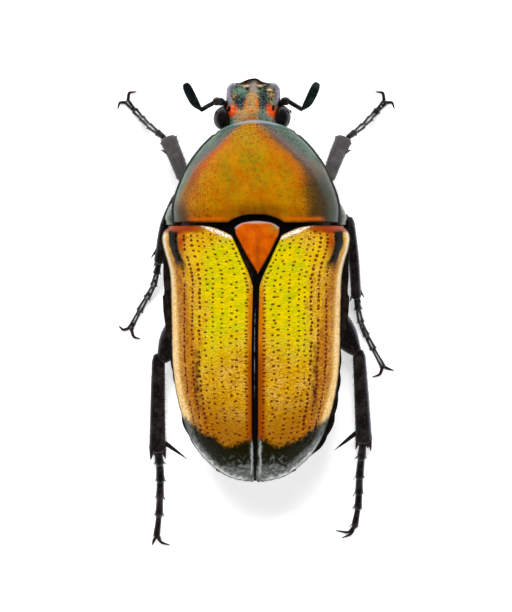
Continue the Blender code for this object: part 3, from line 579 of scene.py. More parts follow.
def wingMasks(grid, arcs, sign):
    # where each colour lies, read from above
    spec = wingCase
    gx, gy = grid[..., 0], grid[..., 1]
    wobble, fine = blotches(gx, gy, 1.6, 21 + sign), blotches(gx, gy, 0.5, 31 + sign)
    x = np.abs(gx) + 0.03 * fine
    y = gy + 0.08 * wobble + 0.04 * fine
    shares = np.linspace(0, 1, grid.shape[1])[None, :]
    fromSide = np.abs(grid[:, -1:, 0]) - x
    # rim is the distance from the side that the pale band follows, inner the one that the silver crescent follows
    band = along(spec["band"], y)
    inside = np.hypot(np.clip(spec["bulgeY"] - y, 0, None) / 8.87, x / 5.2)
    rim = np.minimum(np.where(y < -3.5, 5.2 * (1 - inside) * 1.25, fromSide), fromSide + 0.6)
    power = spec["squareness"]
    inside = (np.clip(spec["bulgeY"] - gy, 0, None) / 8.87) ** power + (np.abs(gx) / 5.2) ** power
    inner = 5.2 * (1 - inside ** (1 / power)) + 0.04 * fine
    green = rise(3.9, 2.6, x + 0.3 * wobble) * rise(-3.6, 0.2, y + 0.5 * (x - 1.2)) * rise(0.3, 0.8, x)
    # the pale peach side band is a painted reflection of the bright surround on the metallic sides
    peach = rise(band + 0.14, band - 0.1, rim + 0.04 * fine) * rise(-8.7, -7.2, y)
    stripEnd = along(spec["stripEnd"], y)
    strip = rise(stripEnd + 0.2, stripEnd - 0.25, rim) * rise(band + 0.02, band + 0.25, rim)
    streak = bump(x, 3.64, 0.2) * window(y, -1.2, -2.6, -5.2, -6.9) * (0.55 + 0.45 * fine)
    # the dark rear end: the beetle's own dark colour with a painted reflection of the dark surround
    bound = along(spec["darkFront"], x)
    # the silver crescent round the rear end is a painted reflection
    crescent = along(spec["crescent"], y) + (0.1 * rise(-7.6, -8.6, y) if sign > 0 else 0)
    silver = rise(crescent + 0.08, crescent - 0.06, inner) * rise(-6.2, -7.2, y)
    smears = 0.9 * rise(0.15, 0.45, blotches(gx, gy, 0.42, 61 + sign)) * bump(x, 1.3, 0.6) * bump(y, -9.1, 0.22)
    for other in (rise(-9.3, -9.55, y + 0.14 * fine), smears, bump(x, 0.24, 0.1) * rise(-7.5, -8.0, y)):
        silver = np.maximum(silver, other)
    # the black shoulder mark is painted shade of the shoulder swelling
    nearer, farther = along(spec["shoulderInner"], y), along(spec["shoulderOuter"], y)
    shoulder = window(x, nearer - 0.14, nearer + 0.1, farther - 0.1, farther + 0.08)
    red = bump(x, 4.62, 0.34) * bump(y, 4.4, 0.95) + 0.9 * rise(4.85, 5.1, y) * rise(3.0, 4.1, x)
    lip = along(spec["lip"], x)
    return {
        "green": green * rise(5.9, 4.4, y + 0.3 * x), "peach": peach, "silver": silver,
        "strip": strip * window(y, -8.4, -7.2, 2.6, 4.2), "streak": np.clip(streak, 0, 1),
        "freckled": 0.22 * rise(band + 0.6, band + 0.2, rim) * (1 - peach) * window(y, -8.4, -7.2, 0.2, 1.5),
        "dark": rise(bound + 0.55, bound - 0.3, y + 0.08 * blotches(gx, gy, 0.35, 71 + sign)),
        "orange": rise(-4.4, -7.4, y + 0.35 * (2.0 - x)) * rise(4.3, 3.0, x),
        "seam": rise(0.62, 0.38, x) * rise(2.2, 0.4, y),
        "glow": rise(0.8, 0.3, x) * window(y, -1.4, -3.2, -7.4, -9.0),
        # the grey flank band along the rear edge is part of the painted silver reflection
        "flank": bump(inner, 0.17, 0.13) * window(y, -6.6, -7.3, -8.6, -9.1),
        "gleam": np.maximum(bump(inner, 0.03, 0.07) * rise(-7.4, -8.4, y) * rise(0.2, 1.0, x),
                            0.7 * bump(x, 0.26, 0.06) * window(y, -7.7, -8.3, -9.8, -10.1)),
        "shoulder": shoulder * window(y, 2.3, 3.5, 4.98, 5.16), "red": np.clip(red, 0, 1),
        "lipPale": bump(fromSide, 0.1, 0.08) * window(y, 0.0, 3.6, 4.9, 5.2),
        "lipRed": rise(4.95, 5.15, y) * rise(2.7, 3.5, x), "sun": bump(x, 3.75, 0.5) * bump(y, 3.7, 1.0),
        "slope": rise(2.8, 4.3, x), "teal": rise(0.3, 0.14, (1 - shares) * arcs[:, None]),
        # painted highlight along the front edge
        "front": bump(np.abs(grid[-1:, :, 1] - gy), lip * 0.62, lip * 0.45) * rise(3.7, 3.2, x),
    }


def wingMaterial():
    spec = wingCase
    look = Finish("wingCaseCuticle", 0.015)
    lengthwise = look.stretch((1.6, 6.5, 1.6))
    ripple = look.noise(1.5, 4.0, 0.65, lengthwise)
    grain, cloud, freckle = look.noise(14.0, 2.0), look.noise(1.3), look.noise(6.0, 4.0, 0.7)
    line = look.soft(look.cells(1.0, "DISTANCE_TO_EDGE", look.stretch((3.4, 8.5, 3.4))), 0.12, 0.02)
    mottle = look.patches(3.4, 0.4, 0.64, 5.0, 0.7)
    green, peach, dark, silver = (look.mark(name) for name in ("green", "peach", "dark", "silver"))
    pit = look.mark("pit") * (1 - silver * 0.8) * (1 - look.mark("shoulder"))
    pale = look.blend(look.soft(grain, 0.4, 0.65), *spec["peach"][:2])
    made = {
        "ripples": look.soft(ripple, 0.5, 0.62), "greenRipples": look.soft(ripple, 0.52, 0.62) * green,
        "lime": green * look.soft(look.noise(1.8, 3.0, 0.5, lengthwise) + cloud * 0.5, 0.7, 0.86),
        "stripPatches": look.mark("strip") * (0.6 + look.soft(cloud, 0.3, 0.6) * 0.35),
        "umber": look.blend(look.soft(ripple, 0.42, 0.58), *spec["umber"]),
        "flecks": look.soft(look.cells(6.5), 0.4, 0.14) * (0.8 - green * 0.65), "net": line * (0.5 - green * 0.3),
        # painted reflection: the pale peach side band and its freckles
        "peachReflectionPatches": peach * (1.15 - look.soft(freckle, 0.45, 0.6) * 0.4),
        "peachReflectionFreckles": look.mark("freckled") * look.patches(5.0, 0.49, 0.58, 4.0, 0.7),
        "peach": look.blend(look.soft(freckle, 0.5, 0.6) * 0.7, pale, spec["peach"][2]),
        "redPatches": look.mark("red") * (0.75 + grain * 0.3),
        # painted shade on the shoulder
        "shoulderShadeSoft": look.mark("shoulder") * (1.2 - look.soft(freckle, 0.5, 0.65) * 0.25),
        "shoulderShadeColour": look.blend(look.soft(cloud, 0.4, 0.6), *spec["shoulderShadeColour"]),
        # the dark rear end is partly painted reflection of the dark surround
        "pits": look.soft(pit, 0.1, 0.7) * (0.9 - peach * 0.4), "darkSoft": look.soft(dark, 0.0, 0.85),
        # the silver and flank colours are painted reflection
        "night": look.blend(grain, *spec["night"]), "silverReflectionColour": look.blend(mottle, *spec["silver"]),
        "flankReflectionColour": look.blend(mottle, *spec["flank"]),
        # painted highlight specks along the front edge
        "frontHighlightSpecks": look.mark("front") * look.patches(9.0, 0.4, 0.5, 2.0),
    }
    ground = look.blend(look.soft(cloud + ripple * 0.5, 0.6, 0.98), *spec["ground"])
    # less shine on the steep sides
    flat = 1 - look.mark("slope") * 0.85
    height = ripple * 0.8 + grain * 0.35 - line * 0.4 + silver * mottle * 0.8
    return look.wear(Base_Color=look.layers(ground, spec["layers"], made),
                     Roughness=0.32 + grain * 0.12 + silver * 0.1 - pit * 0.05,
                     Metallic=(0.12 - dark * 0.12) * flat + silver * 0.08,
                     Coat_Weight=(0.07 - dark * 0.05) * flat + silver * 0.12,
                     Normal=look.dents(height, 0.018, 0.8))


def makeWingCase(side, sign, material):
    spec = wingCase
    outer, arcs = wingGrid(sign, 0.0)
    marks = wingMasks(outer, arcs, sign)
    normal = wingRelief(outer, arcs)
    marks["pit"] = wingPits(outer, normal, sign)
    shape = shell(outer, wingGrid(sign, spec["thick"])[0], spec["innerStep"], marks)
    makePiece("elytron" + side.capitalize(), shape, material, ["elytron_" + side], 60)


wingCuticle = wingMaterial()
for side, sign in (("left", -1), ("right", 1)):
    makeWingCase(side, sign, wingCuticle)
print("wing cases made")


# Pronotum

pronotum = {
    "halfWidths": ((5.62, 5.11), (6.4, 5.16), (7.2, 5.02), (8.1, 4.7), (9.0, 4.3), (9.8, 3.77), (10.55, 3.15),
                   (11.38, 2.25)),
    "tops": ((5.62, 9.95), (7.5, 9.8), (9.5, 8.95), (11.38, 7.2)),
    "rims": ((5.62, 6.2), (8.0, 6.0), (11.38, 5.75)),
    "backY": 5.62, "cornerY": 11.38, "bow": 0.58, "bayDepth": 0.5, "bayHalf": 1.75,
    "thick": 0.8, "lip": 0.5, "rows": 151, "columns": 301, "innerStep": 5, "backRound": 0.22, "frontRound": 0.1,
    # bead and furrow along the sides and the front: height, place and spread
    "sideRidge": (0.06, 0.08, 0.1), "sideFurrow": (-0.06, 0.34, 0.1),
    "frontRidge": ((0.05, 0.07, 0.07), (-0.04, 0.24, 0.09)),
    # width of the grey-green side band at each y, on the left and on the right
    "bandLeft": ((5.6, 0.32), (7.4, 0.44), (8.9, 0.62), (9.7, 0.85), (10.5, 1.2), (11.3, 1.3), (12.0, 1.5)),
    "bandRight": ((5.6, 0.6), (7.4, 0.8), (8.9, 1.0), (9.7, 1.3), (10.5, 1.68), (11.3, 1.95), (12.0, 2.2)),
    "pits": 9000, "pitRadius": 0.062, "pitDepth": 0.022,
    "ground": ("a85c00", "ba7802"), "shade": ("48604e", "345040", "5e6c64"),
    "layers": (("olivePatches", 0.85, "867808"), ("specks", 0.55, "947404"), ("stains", 0.4, "6c4a08"),
               ("rustStains", 0.5, "9c4400"), ("dirt", 0.85, "6e5c10"), ("frontPatches", 0.55, "a48604"),
               ("rust", 0.75, "a84202"), ("rear", 0.85, "642e02"), ("bay", 0.5, "4a2a04"),
               ("brownPatches", 1.0, "4a2a04"), ("deep", 0.85, "26240c"), ("bandSoft", 1.0, "shade"),
               ("bandDeep", 0.85, "16281c"), ("lilac", 0.75, "605252"), ("bead", 0.8, "8c9ca8"),
               # the pale rim layer is a painted highlight in the side furrow
               ("rearEdge", 0.8, "c45c02"), ("rim", 0.75, "8c9c8c"), ("edge", 0.9, "101416"),
               ("pits", 0.9, "141008")),
}


def pronotumSize(y, inset):
    # half width, rim and height of the pronotum's arch, whose wall is as thick as the inset
    rim = curve(pronotum["rims"])(y)
    half = curve(pronotum["halfWidths"])(y) * (1 - inset / 5.16)
    return half, rim, (curve(pronotum["tops"])(y) - rim) * (1 - inset / 3.75)


def pronotumGrid(inset, lip):
    spec = pronotum
    share = np.linspace(0, 1, spec["rows"])[:, None]
    y = between(spec["backY"], spec["cornerY"], share)
    half, rim, tall = pronotumSize(y, between(inset, lip, share))
    angles, arcs = archRows(0 * y[:, 0], half[:, 0], rim[:, 0], tall[:, 0], spec["columns"] // 2 + 1)
    x, z = archPoint(np.hstack((-angles[:, ::-1], angles[:, 1:])), half, rim, tall)
    bow = spec["bow"] * share ** 2 * (1 - (x / half) ** 2)
    bay = spec["bayDepth"] * (1 - share) ** 2 * np.clip(1 - np.abs(x / spec["bayHalf"]) ** 2.5, 0, None)
    return row(x, y + bow + bay, z), arcs


def pronotumRelief(grid, arcs):
    spec = pronotum
    normal = normalsOf(grid)
    across = np.linspace(-1, 1, grid.shape[1])[None, :]
    fromSide = (1 - np.abs(across)) * arcs[:, None]
    fromBack = np.abs(grid[..., 1] - grid[:1, :, 1])
    fromFront = np.abs(grid[-1:, :, 1] - grid[..., 1])
    corner = rise(0.0, 0.4, fromFront)
    height = corner * ridges(fromSide, [spec["sideRidge"]]) + ridges(fromSide, [spec["sideFurrow"]])
    height += ridges(fromFront, spec["frontRidge"])
    height += 0.008 * blotches(grid[..., 0], grid[..., 1], 1.6, 3)
    grid += normal * height[..., None]
    grid[..., 0] += np.sign(grid[..., 0]) * 0.06 * corner * bump(fromSide, 0.05, 0.12)
    roundEdge(grid, fromBack, spec["backRound"])
    roundEdge(grid, fromFront, spec["frontRound"])
    return normalsOf(grid), fromSide, fromBack, fromFront


def pronotumPits(grid, normal):
    # fine pits, dense near the sides and the front and sparse in the middle
    spec = pronotum
    dice = random.Random(7)
    pits = np.zeros(grid.shape[:2])
    placed = []
    for _ in range(spec["pits"]):
        down, across = dice.uniform(4, grid.shape[0] - 5), dice.uniform(5, grid.shape[1] - 6)
        x, y, _z = grid[int(down), int(across)]
        dense = 0.17 + 0.75 * math.exp(-((abs(x) - 3.0) / 0.8) ** 2 - ((y - 7.8) / 1.3) ** 2)
        dense += 0.6 * math.exp(-((y - 11.4) / 0.7) ** 2) + 0.2 * (abs(x) > 3.4)
        if dice.random() > dense:
            continue
        if any(abs(x - px) < 0.1 and abs(y - py) < 0.1 for px, py in placed[-900:]):
            continue
        placed.append((x, y))
        size = dice.uniform(0.65, 1.1)
        dent(grid, normal, pits, down, across, spec["pitRadius"] * size, spec["pitDepth"] * size)
    # they are fainter in the middle
    clear = rise(2.0, 3.4, np.abs(grid[..., 0])) + rise(10.2, 11.2, grid[..., 1])
    return pits * (0.5 + 0.5 * np.clip(clear, 0, 1))


def pronotumMasks(grid, fromSide, fromBack, fromFront):
    spec = pronotum
    x, y = grid[..., 0], grid[..., 1]
    left, far = x < 0, np.abs(x)
    wobble, fine = blotches(x, y, 2.2, 11), blotches(x, y, 0.7, 12)
    inward = np.abs(grid[:, -1:, 0]) - far
    width = np.where(left, curve(spec["bandLeft"])(y), curve(spec["bandRight"])(y)) + 0.06 * fine
    spread = np.where(left, 0.25, 0.45)
    rust = bump(inward, width + np.where(left, 0.3, 0.9), np.where(left, 0.32, 0.45))
    olive = bump(x, -0.2, 2.3) * bump(y, 8.7, 1.7) * rise(-0.5, 0.6, wobble + 0.5 * fine)
    deep = rise(2.2, 3.8, x + 0.25 * wobble) * rise(9.9, 7.8, y)
    deep = deep + rise(3.8, 4.7, -x + 0.1 * wobble) * rise(7.6, 6.2, y)
    rear = rise(1.1, 0.05, fromBack) * (0.8 + 0.2 * fine) * (0.75 + 0.25 * rise(1.5, 3.5, far))
    lilac = bump(inward, width - 0.12, np.where(left, 0.3, 0.5)) * rise(7.8, 9.6, y)
    return {
        "band": rise(width + spread * 0.5, width - spread * 0.8, inward), "lilac": np.clip(lilac, 0, 1),
        "rust": rust * np.where(left, window(y, 11.2, 10.4, 8.6, 7.6), 0.6 * rise(7.6, 8.6, y)),
        "brown": bump(inward, width + 0.2, 0.35) * np.where(x > 0, rise(11.9, 10.6, y), 0.6 * rise(9.4, 8.2, y)),
        "olive": np.clip(olive + 0.35 * bump(x, -0.5, 0.8) * bump(y, 10.9, 0.7), 0, 1),
        "deep": np.clip(deep, 0, 1), "rear": np.clip(rear, 0, 1), "bay": bump(x, 0.1, 2.0) * bump(y, 6.4, 0.4),
        # the pale rim line inside the side furrow is a painted highlight
        "front": bump(x, -0.3, 1.5) * bump(y, 10.6, 1.5), "rim": bump(fromSide, 0.39, 0.08),
        "bead": rise(0.2, 0.1, fromFront) * rise(0.3, 0.6, fromSide) * (0.25 + 0.75 * rise(1.7, 1.0, far)),
        "edge": np.clip(rise(0.28, 0.18, fromSide) + bump(fromSide, 0.52, 0.06), 0, 1),
        "rearEdge": bump(fromBack, 0.22, 0.12) * window(far, 1.4, 2.2, 3.9, 4.4),
    }


def pronotumMaterial():
    spec = pronotum
    look = Finish("pronotumCuticle", 0.04, 0.08)
    grain, cloud, speck = look.noise(16.0, 2.0), look.noise(0.9, 4.0, 0.6), look.noise(4.5, 4.0, 0.65)
    olive, band, deep = (look.mark(name) for name in ("olive", "band", "deep"))
    shade = look.blend(look.patches(1.1, 0.4, 0.6, 3.0), *spec["shade"][:2])
    made = {
        "olivePatches": olive * look.soft(speck + cloud, 0.7, 1.05), "specks": look.soft(speck, 0.48, 0.6),
        "stains": look.patches(7.0, 0.56, 0.64, 4.0, 0.7), "rustStains": look.patches(3.1, 0.55, 0.66, 4.0, 0.6),
        "dirt": olive * look.patches(2.2, 0.5, 0.6, 5.0, 0.7),
        "frontPatches": look.mark("front") * look.soft(speck, 0.4, 0.6),
        "brownPatches": look.mark("brown") * (0.6 + speck * 0.5),
        "shade": look.blend(look.soft(speck, 0.5, 0.62) * 0.5, shade, spec["shade"][2]),
        "bandSoft": band * (1 - deep * 0.6), "bandDeep": band * deep,
        "pits": look.soft(look.mark("pit"), 0.15, 0.7),
    }
    ground = look.blend(look.soft(cloud + speck * 0.4, 0.5, 0.9), *spec["ground"])
    return look.wear(Base_Color=look.layers(ground, spec["layers"], made), Metallic=0.12,
                     Roughness=0.3 + grain * 0.1 + band * 0.08, Coat_Weight=0.1 + band * 0.08,
                     Normal=look.dents(grain + speck * 0.5, 0.009, 0.8))


def makePronotum():
    spec = pronotum
    outer, arcs = pronotumGrid(0.0, 0.0)
    normal, fromSide, fromBack, fromFront = pronotumRelief(outer, arcs)
    marks = pronotumMasks(outer, fromSide, fromBack, fromFront)
    marks["pit"] = pronotumPits(outer, normal)
    shape = shell(outer, pronotumGrid(spec["thick"], spec["lip"])[0], spec["innerStep"], marks)
    makePiece("pronotumPlate", shape, pronotumMaterial(), ["pronotum"], 60)


makePronotum()
print("pronotum made")


# Scutellum, the small shield between the wing cases

scutellum = {
    "halfWidths": ((2.4, 0.03), (2.7, 0.2), (3.3, 0.55), (3.8, 0.83), (4.4, 1.12), (5.0, 1.38), (5.25, 1.4),
                   (5.45, 1.2), (5.6, 0.9), (5.7, 0.3)),
    "middle": ((2.4, 0.12), (5.7, 0.06)), "sink": 0.08, "thick": 0.5, "rows": 81, "columns": 61, "innerStep": 5,
    "pits": 70, "pitRadius": 0.05, "pitDepth": 0.014, "ground": ("cc5400", "dc6200"),
    "layers": (("streak", 0.6, "9a4204"), ("corner", 0.7, "a8881c"), ("bevel", 0.85, "b8aab0"),
               ("plainSide", 0.7, "2a1004"), ("pits", 0.6, "5a2002")),
}


def makeScutellum():
    spec = scutellum
    halfAt, middleAt, topAt = curve(spec["halfWidths"]), curve(spec["middle"]), curve(wingCase["tops"])
    rear, front = spec["halfWidths"][0][0], spec["halfWidths"][-1][0]
    s = np.linspace(-1, 1, spec["columns"])
    y = front - (front - rear) * np.linspace(1, 0, spec["rows"])[:, None] ** 1.25
    z = topAt(y) - spec["sink"] - 0.1 * np.abs(s) ** 3 + 0.05 * (1 - s ** 2) * np.minimum(halfAt(y), 1)
    grid = row(middleAt(y) + halfAt(y) * s, y, z)
    low = grid - np.array((0, 0, spec["thick"]))
    x, y = grid[..., 0], grid[..., 1]
    fromEdge = np.minimum((halfAt(y) - np.abs(x - middleAt(y))) * 0.85, front + 0.02 - y)
    roundEdge(grid, fromEdge, 0.17, 1.1)
    grid[..., 2] += 0.004 * blotches(x, y, 0.5, 4)
    # the pale bevel along the rounded front is a painted highlight
    marks = {"bevel": rise(0.24, 0.1, fromEdge) * rise(5.15, 5.35, y), "side": rise(0.12, 0.02, fromEdge),
             "streak": bump(x, 0.1, 0.16) * window(y, 2.4, 3.2, 4.0, 5.0),
             "corner": bump(x, 1.15, 0.4) * bump(y, 5.25, 0.25), "pit": np.zeros(grid.shape[:2])}
    normal = normalsOf(grid)
    dice = random.Random(3)
    for _ in range(spec["pits"]):
        down, across = dice.uniform(6, spec["rows"] - 12), dice.uniform(6, spec["columns"] - 7)
        dent(grid, normal, marks["pit"], down, across, spec["pitRadius"], spec["pitDepth"])
    look = Finish("scutellumCuticle", 0.25)
    grain = look.noise(15.0, 2.0)
    # painted highlight on the front bevel
    bevel = look.mark("bevel")
    made = {"plainSide": look.mark("side") * (1 - bevel), "pits": look.soft(look.mark("pit"), 0.2, 0.8)}
    ground = look.blend(look.patches(2.2, 0.4, 0.65, 3.0), *spec["ground"])
    material = look.wear(Base_Color=look.layers(ground, spec["layers"], made), Roughness=0.27 + grain * 0.1,
                         Metallic=0.3, Coat_Weight=0.25 + bevel * 0.3, Normal=look.dents(grain, 0.006, 0.7))
    shape = shell(grid, low, spec["innerStep"], marks)
    makePiece("scutellumPlate", shape, material, ["scutellum"], 60)


makeScutellum()
print("scutellum made")


# Head

headSpec = {
    "middleX": -0.16, "backY": 11.3, "frontY": 14.36,
    # share from back to front and half width
    "halfWidths": ((0.0, 1.62), (0.25, 1.52), (0.5, 1.58), (0.72, 1.69), (0.88, 1.65), (0.96, 1.51), (1.0, 1.34)),
    "tops": ((11.3, 5.72), (12.2, 5.8), (13.0, 5.5), (14.6, 4.65)),
    "lows": ((11.3, 3.6), (12.2, 3.3), (13.0, 3.4), (14.6, 4.0)),
    "rows": 141, "columns": 141, "innerStep": 4,
    "pits": 1100, "pitRadius": (0.035, 0.055), "pitDepth": 0.02,
    "ground": ("38403a", "7c8068"), "vertex": ("b88c50", "a48a6c"), "brown": ("5c3c1c", "a08454"),
    "dark": ("0c1218", "5c6c78"), "tan": ("c4904c", "b4905c"), "hot": ("e04404", "f08838"),
    "faceEdge": ("0c0204", "3c0a0c"),
    "layers": (("mossPatches", 0.7, "5c8470"), ("moss", 0.85, "6c9480"), ("umber", 0.85, "brown"),
               # the hollow layer is painted shade in the head's hollows
               ("vertex", 0.9, "vertexTan"), ("grey", 0.85, "6c7868"), ("hollow", 0.92, "dark"),
               ("ridge", 0.95, "tan"), ("bulb", 0.9, "a08c84"), ("spots", 0.92, "e06a04"),
               ("crumbs", 1.0, "0c0c0e"), ("patch", 0.98, "hot"), ("rim", 0.92, "847c8e"),
               # the peach, orange and white spots at the front are painted highlights
               ("soot", 0.92, "0c0606"), ("peach", 0.9, "ecbc90"), ("flame", 0.92, "dc4c04"),
               ("shine", 0.95, "fff4f6"),
               ("slits", 1.0, "100404"), ("pits", 0.8, "08090c")),
    "sockets": ((-1.76, 12.98, 4.62), (1.46, 13.02, 4.62)), "socketHalves": (0.3, 0.3, 0.3), "edgeHalf": 0.075,
    "frontEdge": ((-1.02, 14.24, 4.86), (-0.8, 14.36, 4.92), (-0.6, 14.45, 4.94), (-0.34, 14.53, 4.95),
                  (-0.06, 14.56, 4.95), (0.14, 14.5, 4.95), (0.36, 14.36, 4.94), (0.6, 14.3, 4.92),
                  (0.8, 14.2, 4.86)),
}


def headGrid():
    spec = headSpec
    t, s = np.linspace(0, 1, spec["rows"])[:, None], np.linspace(-1, 1, spec["columns"])
    x = curve(spec["halfWidths"])(t) * s
    front = spec["frontY"] + 0.25 * np.exp(-np.abs((x + 0.03) / 0.54) ** 3) - 0.02 * np.abs(s) ** 5
    y = spec["backY"] + (front - spec["backY"]) * t
    # the left side stands a little over the eye
    x = x - 0.2 * np.clip(-s, 0, 1) ** 2 * bump(y, 12.55, 0.5) + spec["middleX"]
    top, low = curve(spec["tops"])(y), curve(spec["lows"])(y)
    middle = between(low, top, 0.55)
    return (row(x, y, middle + 0.12 + (top - middle - 0.12) * (1 - np.abs(s) ** 5)),
            row(x, y, low + (middle - 0.1 - low) * np.abs(s) ** 2.5))


def headRelief(grid):
    spec = headSpec
    x, y = grid[..., 0] - spec["middleX"], grid[..., 1]
    fromSide = np.abs(grid[:, -1:, 0] - spec["middleX"]) - np.abs(x)
    fromFront = grid[-1:, :, 1] - y
    fromEdge = np.minimum(fromSide, fromFront + 0.7 * rise(1.1, 0.8, np.abs(x)))
    brow = window(y, 12.0, 12.7, 13.9, 14.4)
    clypeus = rise(12.9, 13.3, y)
    height = 0.14 * bump(x, -0.04, 0.34) * brow - 0.17 * bump(np.abs(x), 0.74, 0.33) * brow
    height += 0.15 * bump(fromEdge, 0.13, 0.12) * clypeus - 0.06 * bump(fromEdge, 0.38, 0.13) * clypeus
    height -= 0.12 * bump(fromFront, 0.3, 0.1) * bump(x, 0.04, 0.75)
    height += 0.13 * bump(x, 0.04, 0.2) * bump(fromFront, 0.3, 0.16)
    height += 0.12 * bump(np.abs(x), 1.32, 0.24) * bump(y, 12.55, 0.5)
    grid[..., 2] += height + 0.014 * blotches(x, y, 0.3, 17)
    return x, y, fromEdge


def spot(x, y, middleX, middleY, wide, long):
    # soft oval with a flat middle
    return np.exp(-(((x - middleX) / wide) ** 2 + ((y - middleY) / long) ** 2) ** 2)


def spots(x, y, rows):
    total = np.zeros_like(x)
    for row in rows:
        total = np.maximum(total, spot(x, y, *row))
    return total


def headMasks(x, y, fromEdge):
    fine = blotches(x, y, 0.35, 19)
    px, py = x + 0.03 * fine, y + 0.03 * blotches(x, y, 0.35, 23)
    lean = 0.3 * (12.5 - py)
    return {
        "ridge": spots(px, py, ((-0.04, 13.3, 0.34, 0.6), (-0.2, 12.7, 0.55, 0.3))),
        "bulb": spots(x, y, ((0.04, 14.25, 0.28, 0.26), (0.02, 13.9, 0.24, 0.2))),
        "vertex": rise(12.9, 12.55, py) * rise(1.3, 1.0, -px) * rise(0.45, 0.2, px),
        "grey": rise(12.8, 12.5, py) * window(px, 0.25, 0.45, 0.8, 1.1),
        "spots": spots(px, py, ((-0.46, 13.0, 0.15, 0.09), (0.26, 13.03, 0.15, 0.09), (-0.22, 12.56, 0.3, 0.07),
                                (-0.1, 12.12, 0.3, 0.09), (-0.45, 13.2, 0.06, 0.22), (-0.8, 12.08, 0.12, 0.07),
                                (0.22, 13.2, 0.06, 0.18), (0.2, 12.8, 0.14, 0.07))),
        "patch": np.maximum(spot(px + lean, py, -1.46, 12.52, 0.4, 0.46),
                            spot(px - lean, py, 1.2, 12.52, 0.36, 0.47)),
        "slit": spots(x, y, ((-1.52, 12.72, 0.12, 0.2), (1.24, 12.78, 0.1, 0.22))),
        # the hollows are darkened: painted shade
        "hollow": spots(px, py, ((-0.82, 13.2, 0.38, 0.46), (0.62, 13.3, 0.34, 0.5), (-0.7, 12.85, 0.3, 0.2),
                                 (0.55, 12.9, 0.28, 0.16))),
        "moss": spots(px, py, ((-1.15, 12.05, 0.35, 0.22), (1.05, 12.08, 0.4, 0.22), (-0.82, 13.85, 0.36, 0.2))),
        "umber": spots(px, py, ((-1.2, 13.45, 0.34, 0.2), (1.1, 13.6, 0.28, 0.4))),
        # painted highlights: pale peach, orange and white glints behind the front edge
        "peach": spots(x, y, ((-0.48, 14.16, 0.24, 0.08), (0.44, 14.17, 0.2, 0.07), (1.0, 13.9, 0.16, 0.07))),
        "flame": spots(x, y, ((-0.6, 14.07, 0.26, 0.05), (0.83, 14.12, 0.2, 0.1))),
        "shine": spots(x, y, ((-0.8, 14.23, 0.12, 0.06), (0.76, 14.25, 0.16, 0.06))),
        "soot": spots(px, py, ((-0.38, 13.98, 0.12, 0.12), (0.42, 13.98, 0.12, 0.12), (0.8, 13.84, 0.32, 0.07))),
        "rim": rise(0.34, 0.22, fromEdge) * rise(12.9, 13.2, y) * rise(0.75, 1.0, np.abs(x)),
    }


def headMaterial():
    spec = headSpec
    look = Finish("headCuticle", 0.08)
    grain, speck, mottle = look.noise(14.0), look.noise(5.5, 4.0, 0.7), look.noise(3.0, 4.0, 0.65)
    made = {
        "mossPatches": look.soft(mottle, 0.48, 0.6),
        "brown": look.blend(look.soft(speck, 0.45, 0.55), *spec["brown"]),
        "vertexTan": look.blend(look.soft(mottle, 0.45, 0.6), *spec["vertex"]),
        # colour of the painted shade in the hollows
        "dark": look.blend(look.patches(8.0, 0.5, 0.6, 3.0, 0.7), *spec["dark"]),
        "tan": look.blend(look.soft(speck, 0.46, 0.6), *spec["tan"]),
        "hot": look.blend(look.soft(speck, 0.5, 0.66), *spec["hot"]),
        "crumbs": look.patches(9.0, 0.57, 0.63, 3.0, 0.65) * (1 - look.mark("ridge") * 0.7)
        * (1 - look.mark("vertex") * 0.7),
        "slits": look.soft(look.mark("slit"), 0.35, 0.6), "pits": look.soft(look.mark("pit"), 0.2, 0.8),
    }
    ground = look.blend(look.soft(speck, 0.42, 0.6), *spec["ground"])
    return look.wear(Base_Color=look.layers(ground, spec["layers"], made), Roughness=0.3 + grain * 0.15,
                     Metallic=0.2, Coat_Weight=0.12 + look.mark("hollow") * 0.2,
                     Normal=look.dents(grain + speck, 0.014, 0.8))


def makeHead():
    spec = headSpec
    upper, lower = headGrid()
    marks = headMasks(*headRelief(upper))
    normal = normalsOf(upper)
    marks["pit"] = np.zeros(upper.shape[:2])
    dice = random.Random(12)
    for _ in range(spec["pits"]):
        down, across = dice.uniform(28, spec["rows"] - 10), dice.uniform(6, spec["columns"] - 7)
        dense = 0.12 + 0.88 * marks["hollow"][int(down), int(across)]
        if dice.random() < dense * (1 - marks["patch"][int(down), int(across)]):
            dent(upper, normal, marks["pit"], down, across, dice.uniform(*spec["pitRadius"]), spec["pitDepth"])
    shape = shell(upper, lower, spec["innerStep"], marks)
    for socket in spec["sockets"]:
        shape.add(*ball(socket, spec["socketHalves"], 16, 24), slit=1.0)
    makePiece("headCapsule", shape, headMaterial(), ["head"], 60)
    # thin dark edge that stands up along the front of the face
    look = Finish("faceEdgeCuticle", 0.25)
    haze = look.noise(6.0)
    material = look.wear(Base_Color=look.blend(look.soft(haze, 0.4, 0.65), *spec["faceEdge"]),
                         Roughness=0.3 + haze * 0.1, Coat_Weight=0.15 + haze * 0.1)

    def thickAt(r):
        return between(0.035, spec["edgeHalf"], math.sin(math.pi * r) ** 0.5)

    shape = Shape()
    shape.add(*tube(pathThrough(spec["frontEdge"], 61), thickAt, lambda r: 1.4 * thickAt(r), 14))
    makePiece("faceEdge", shape, material, [])


eyes = {"left": (-2.1, 12.12, 4.85), "right": (1.62, 12.2, 4.85), "halves": (0.56, 0.71, 0.66),
        "ground": ("07080a", "1a1614"), "facetsPerMm": 26.0}


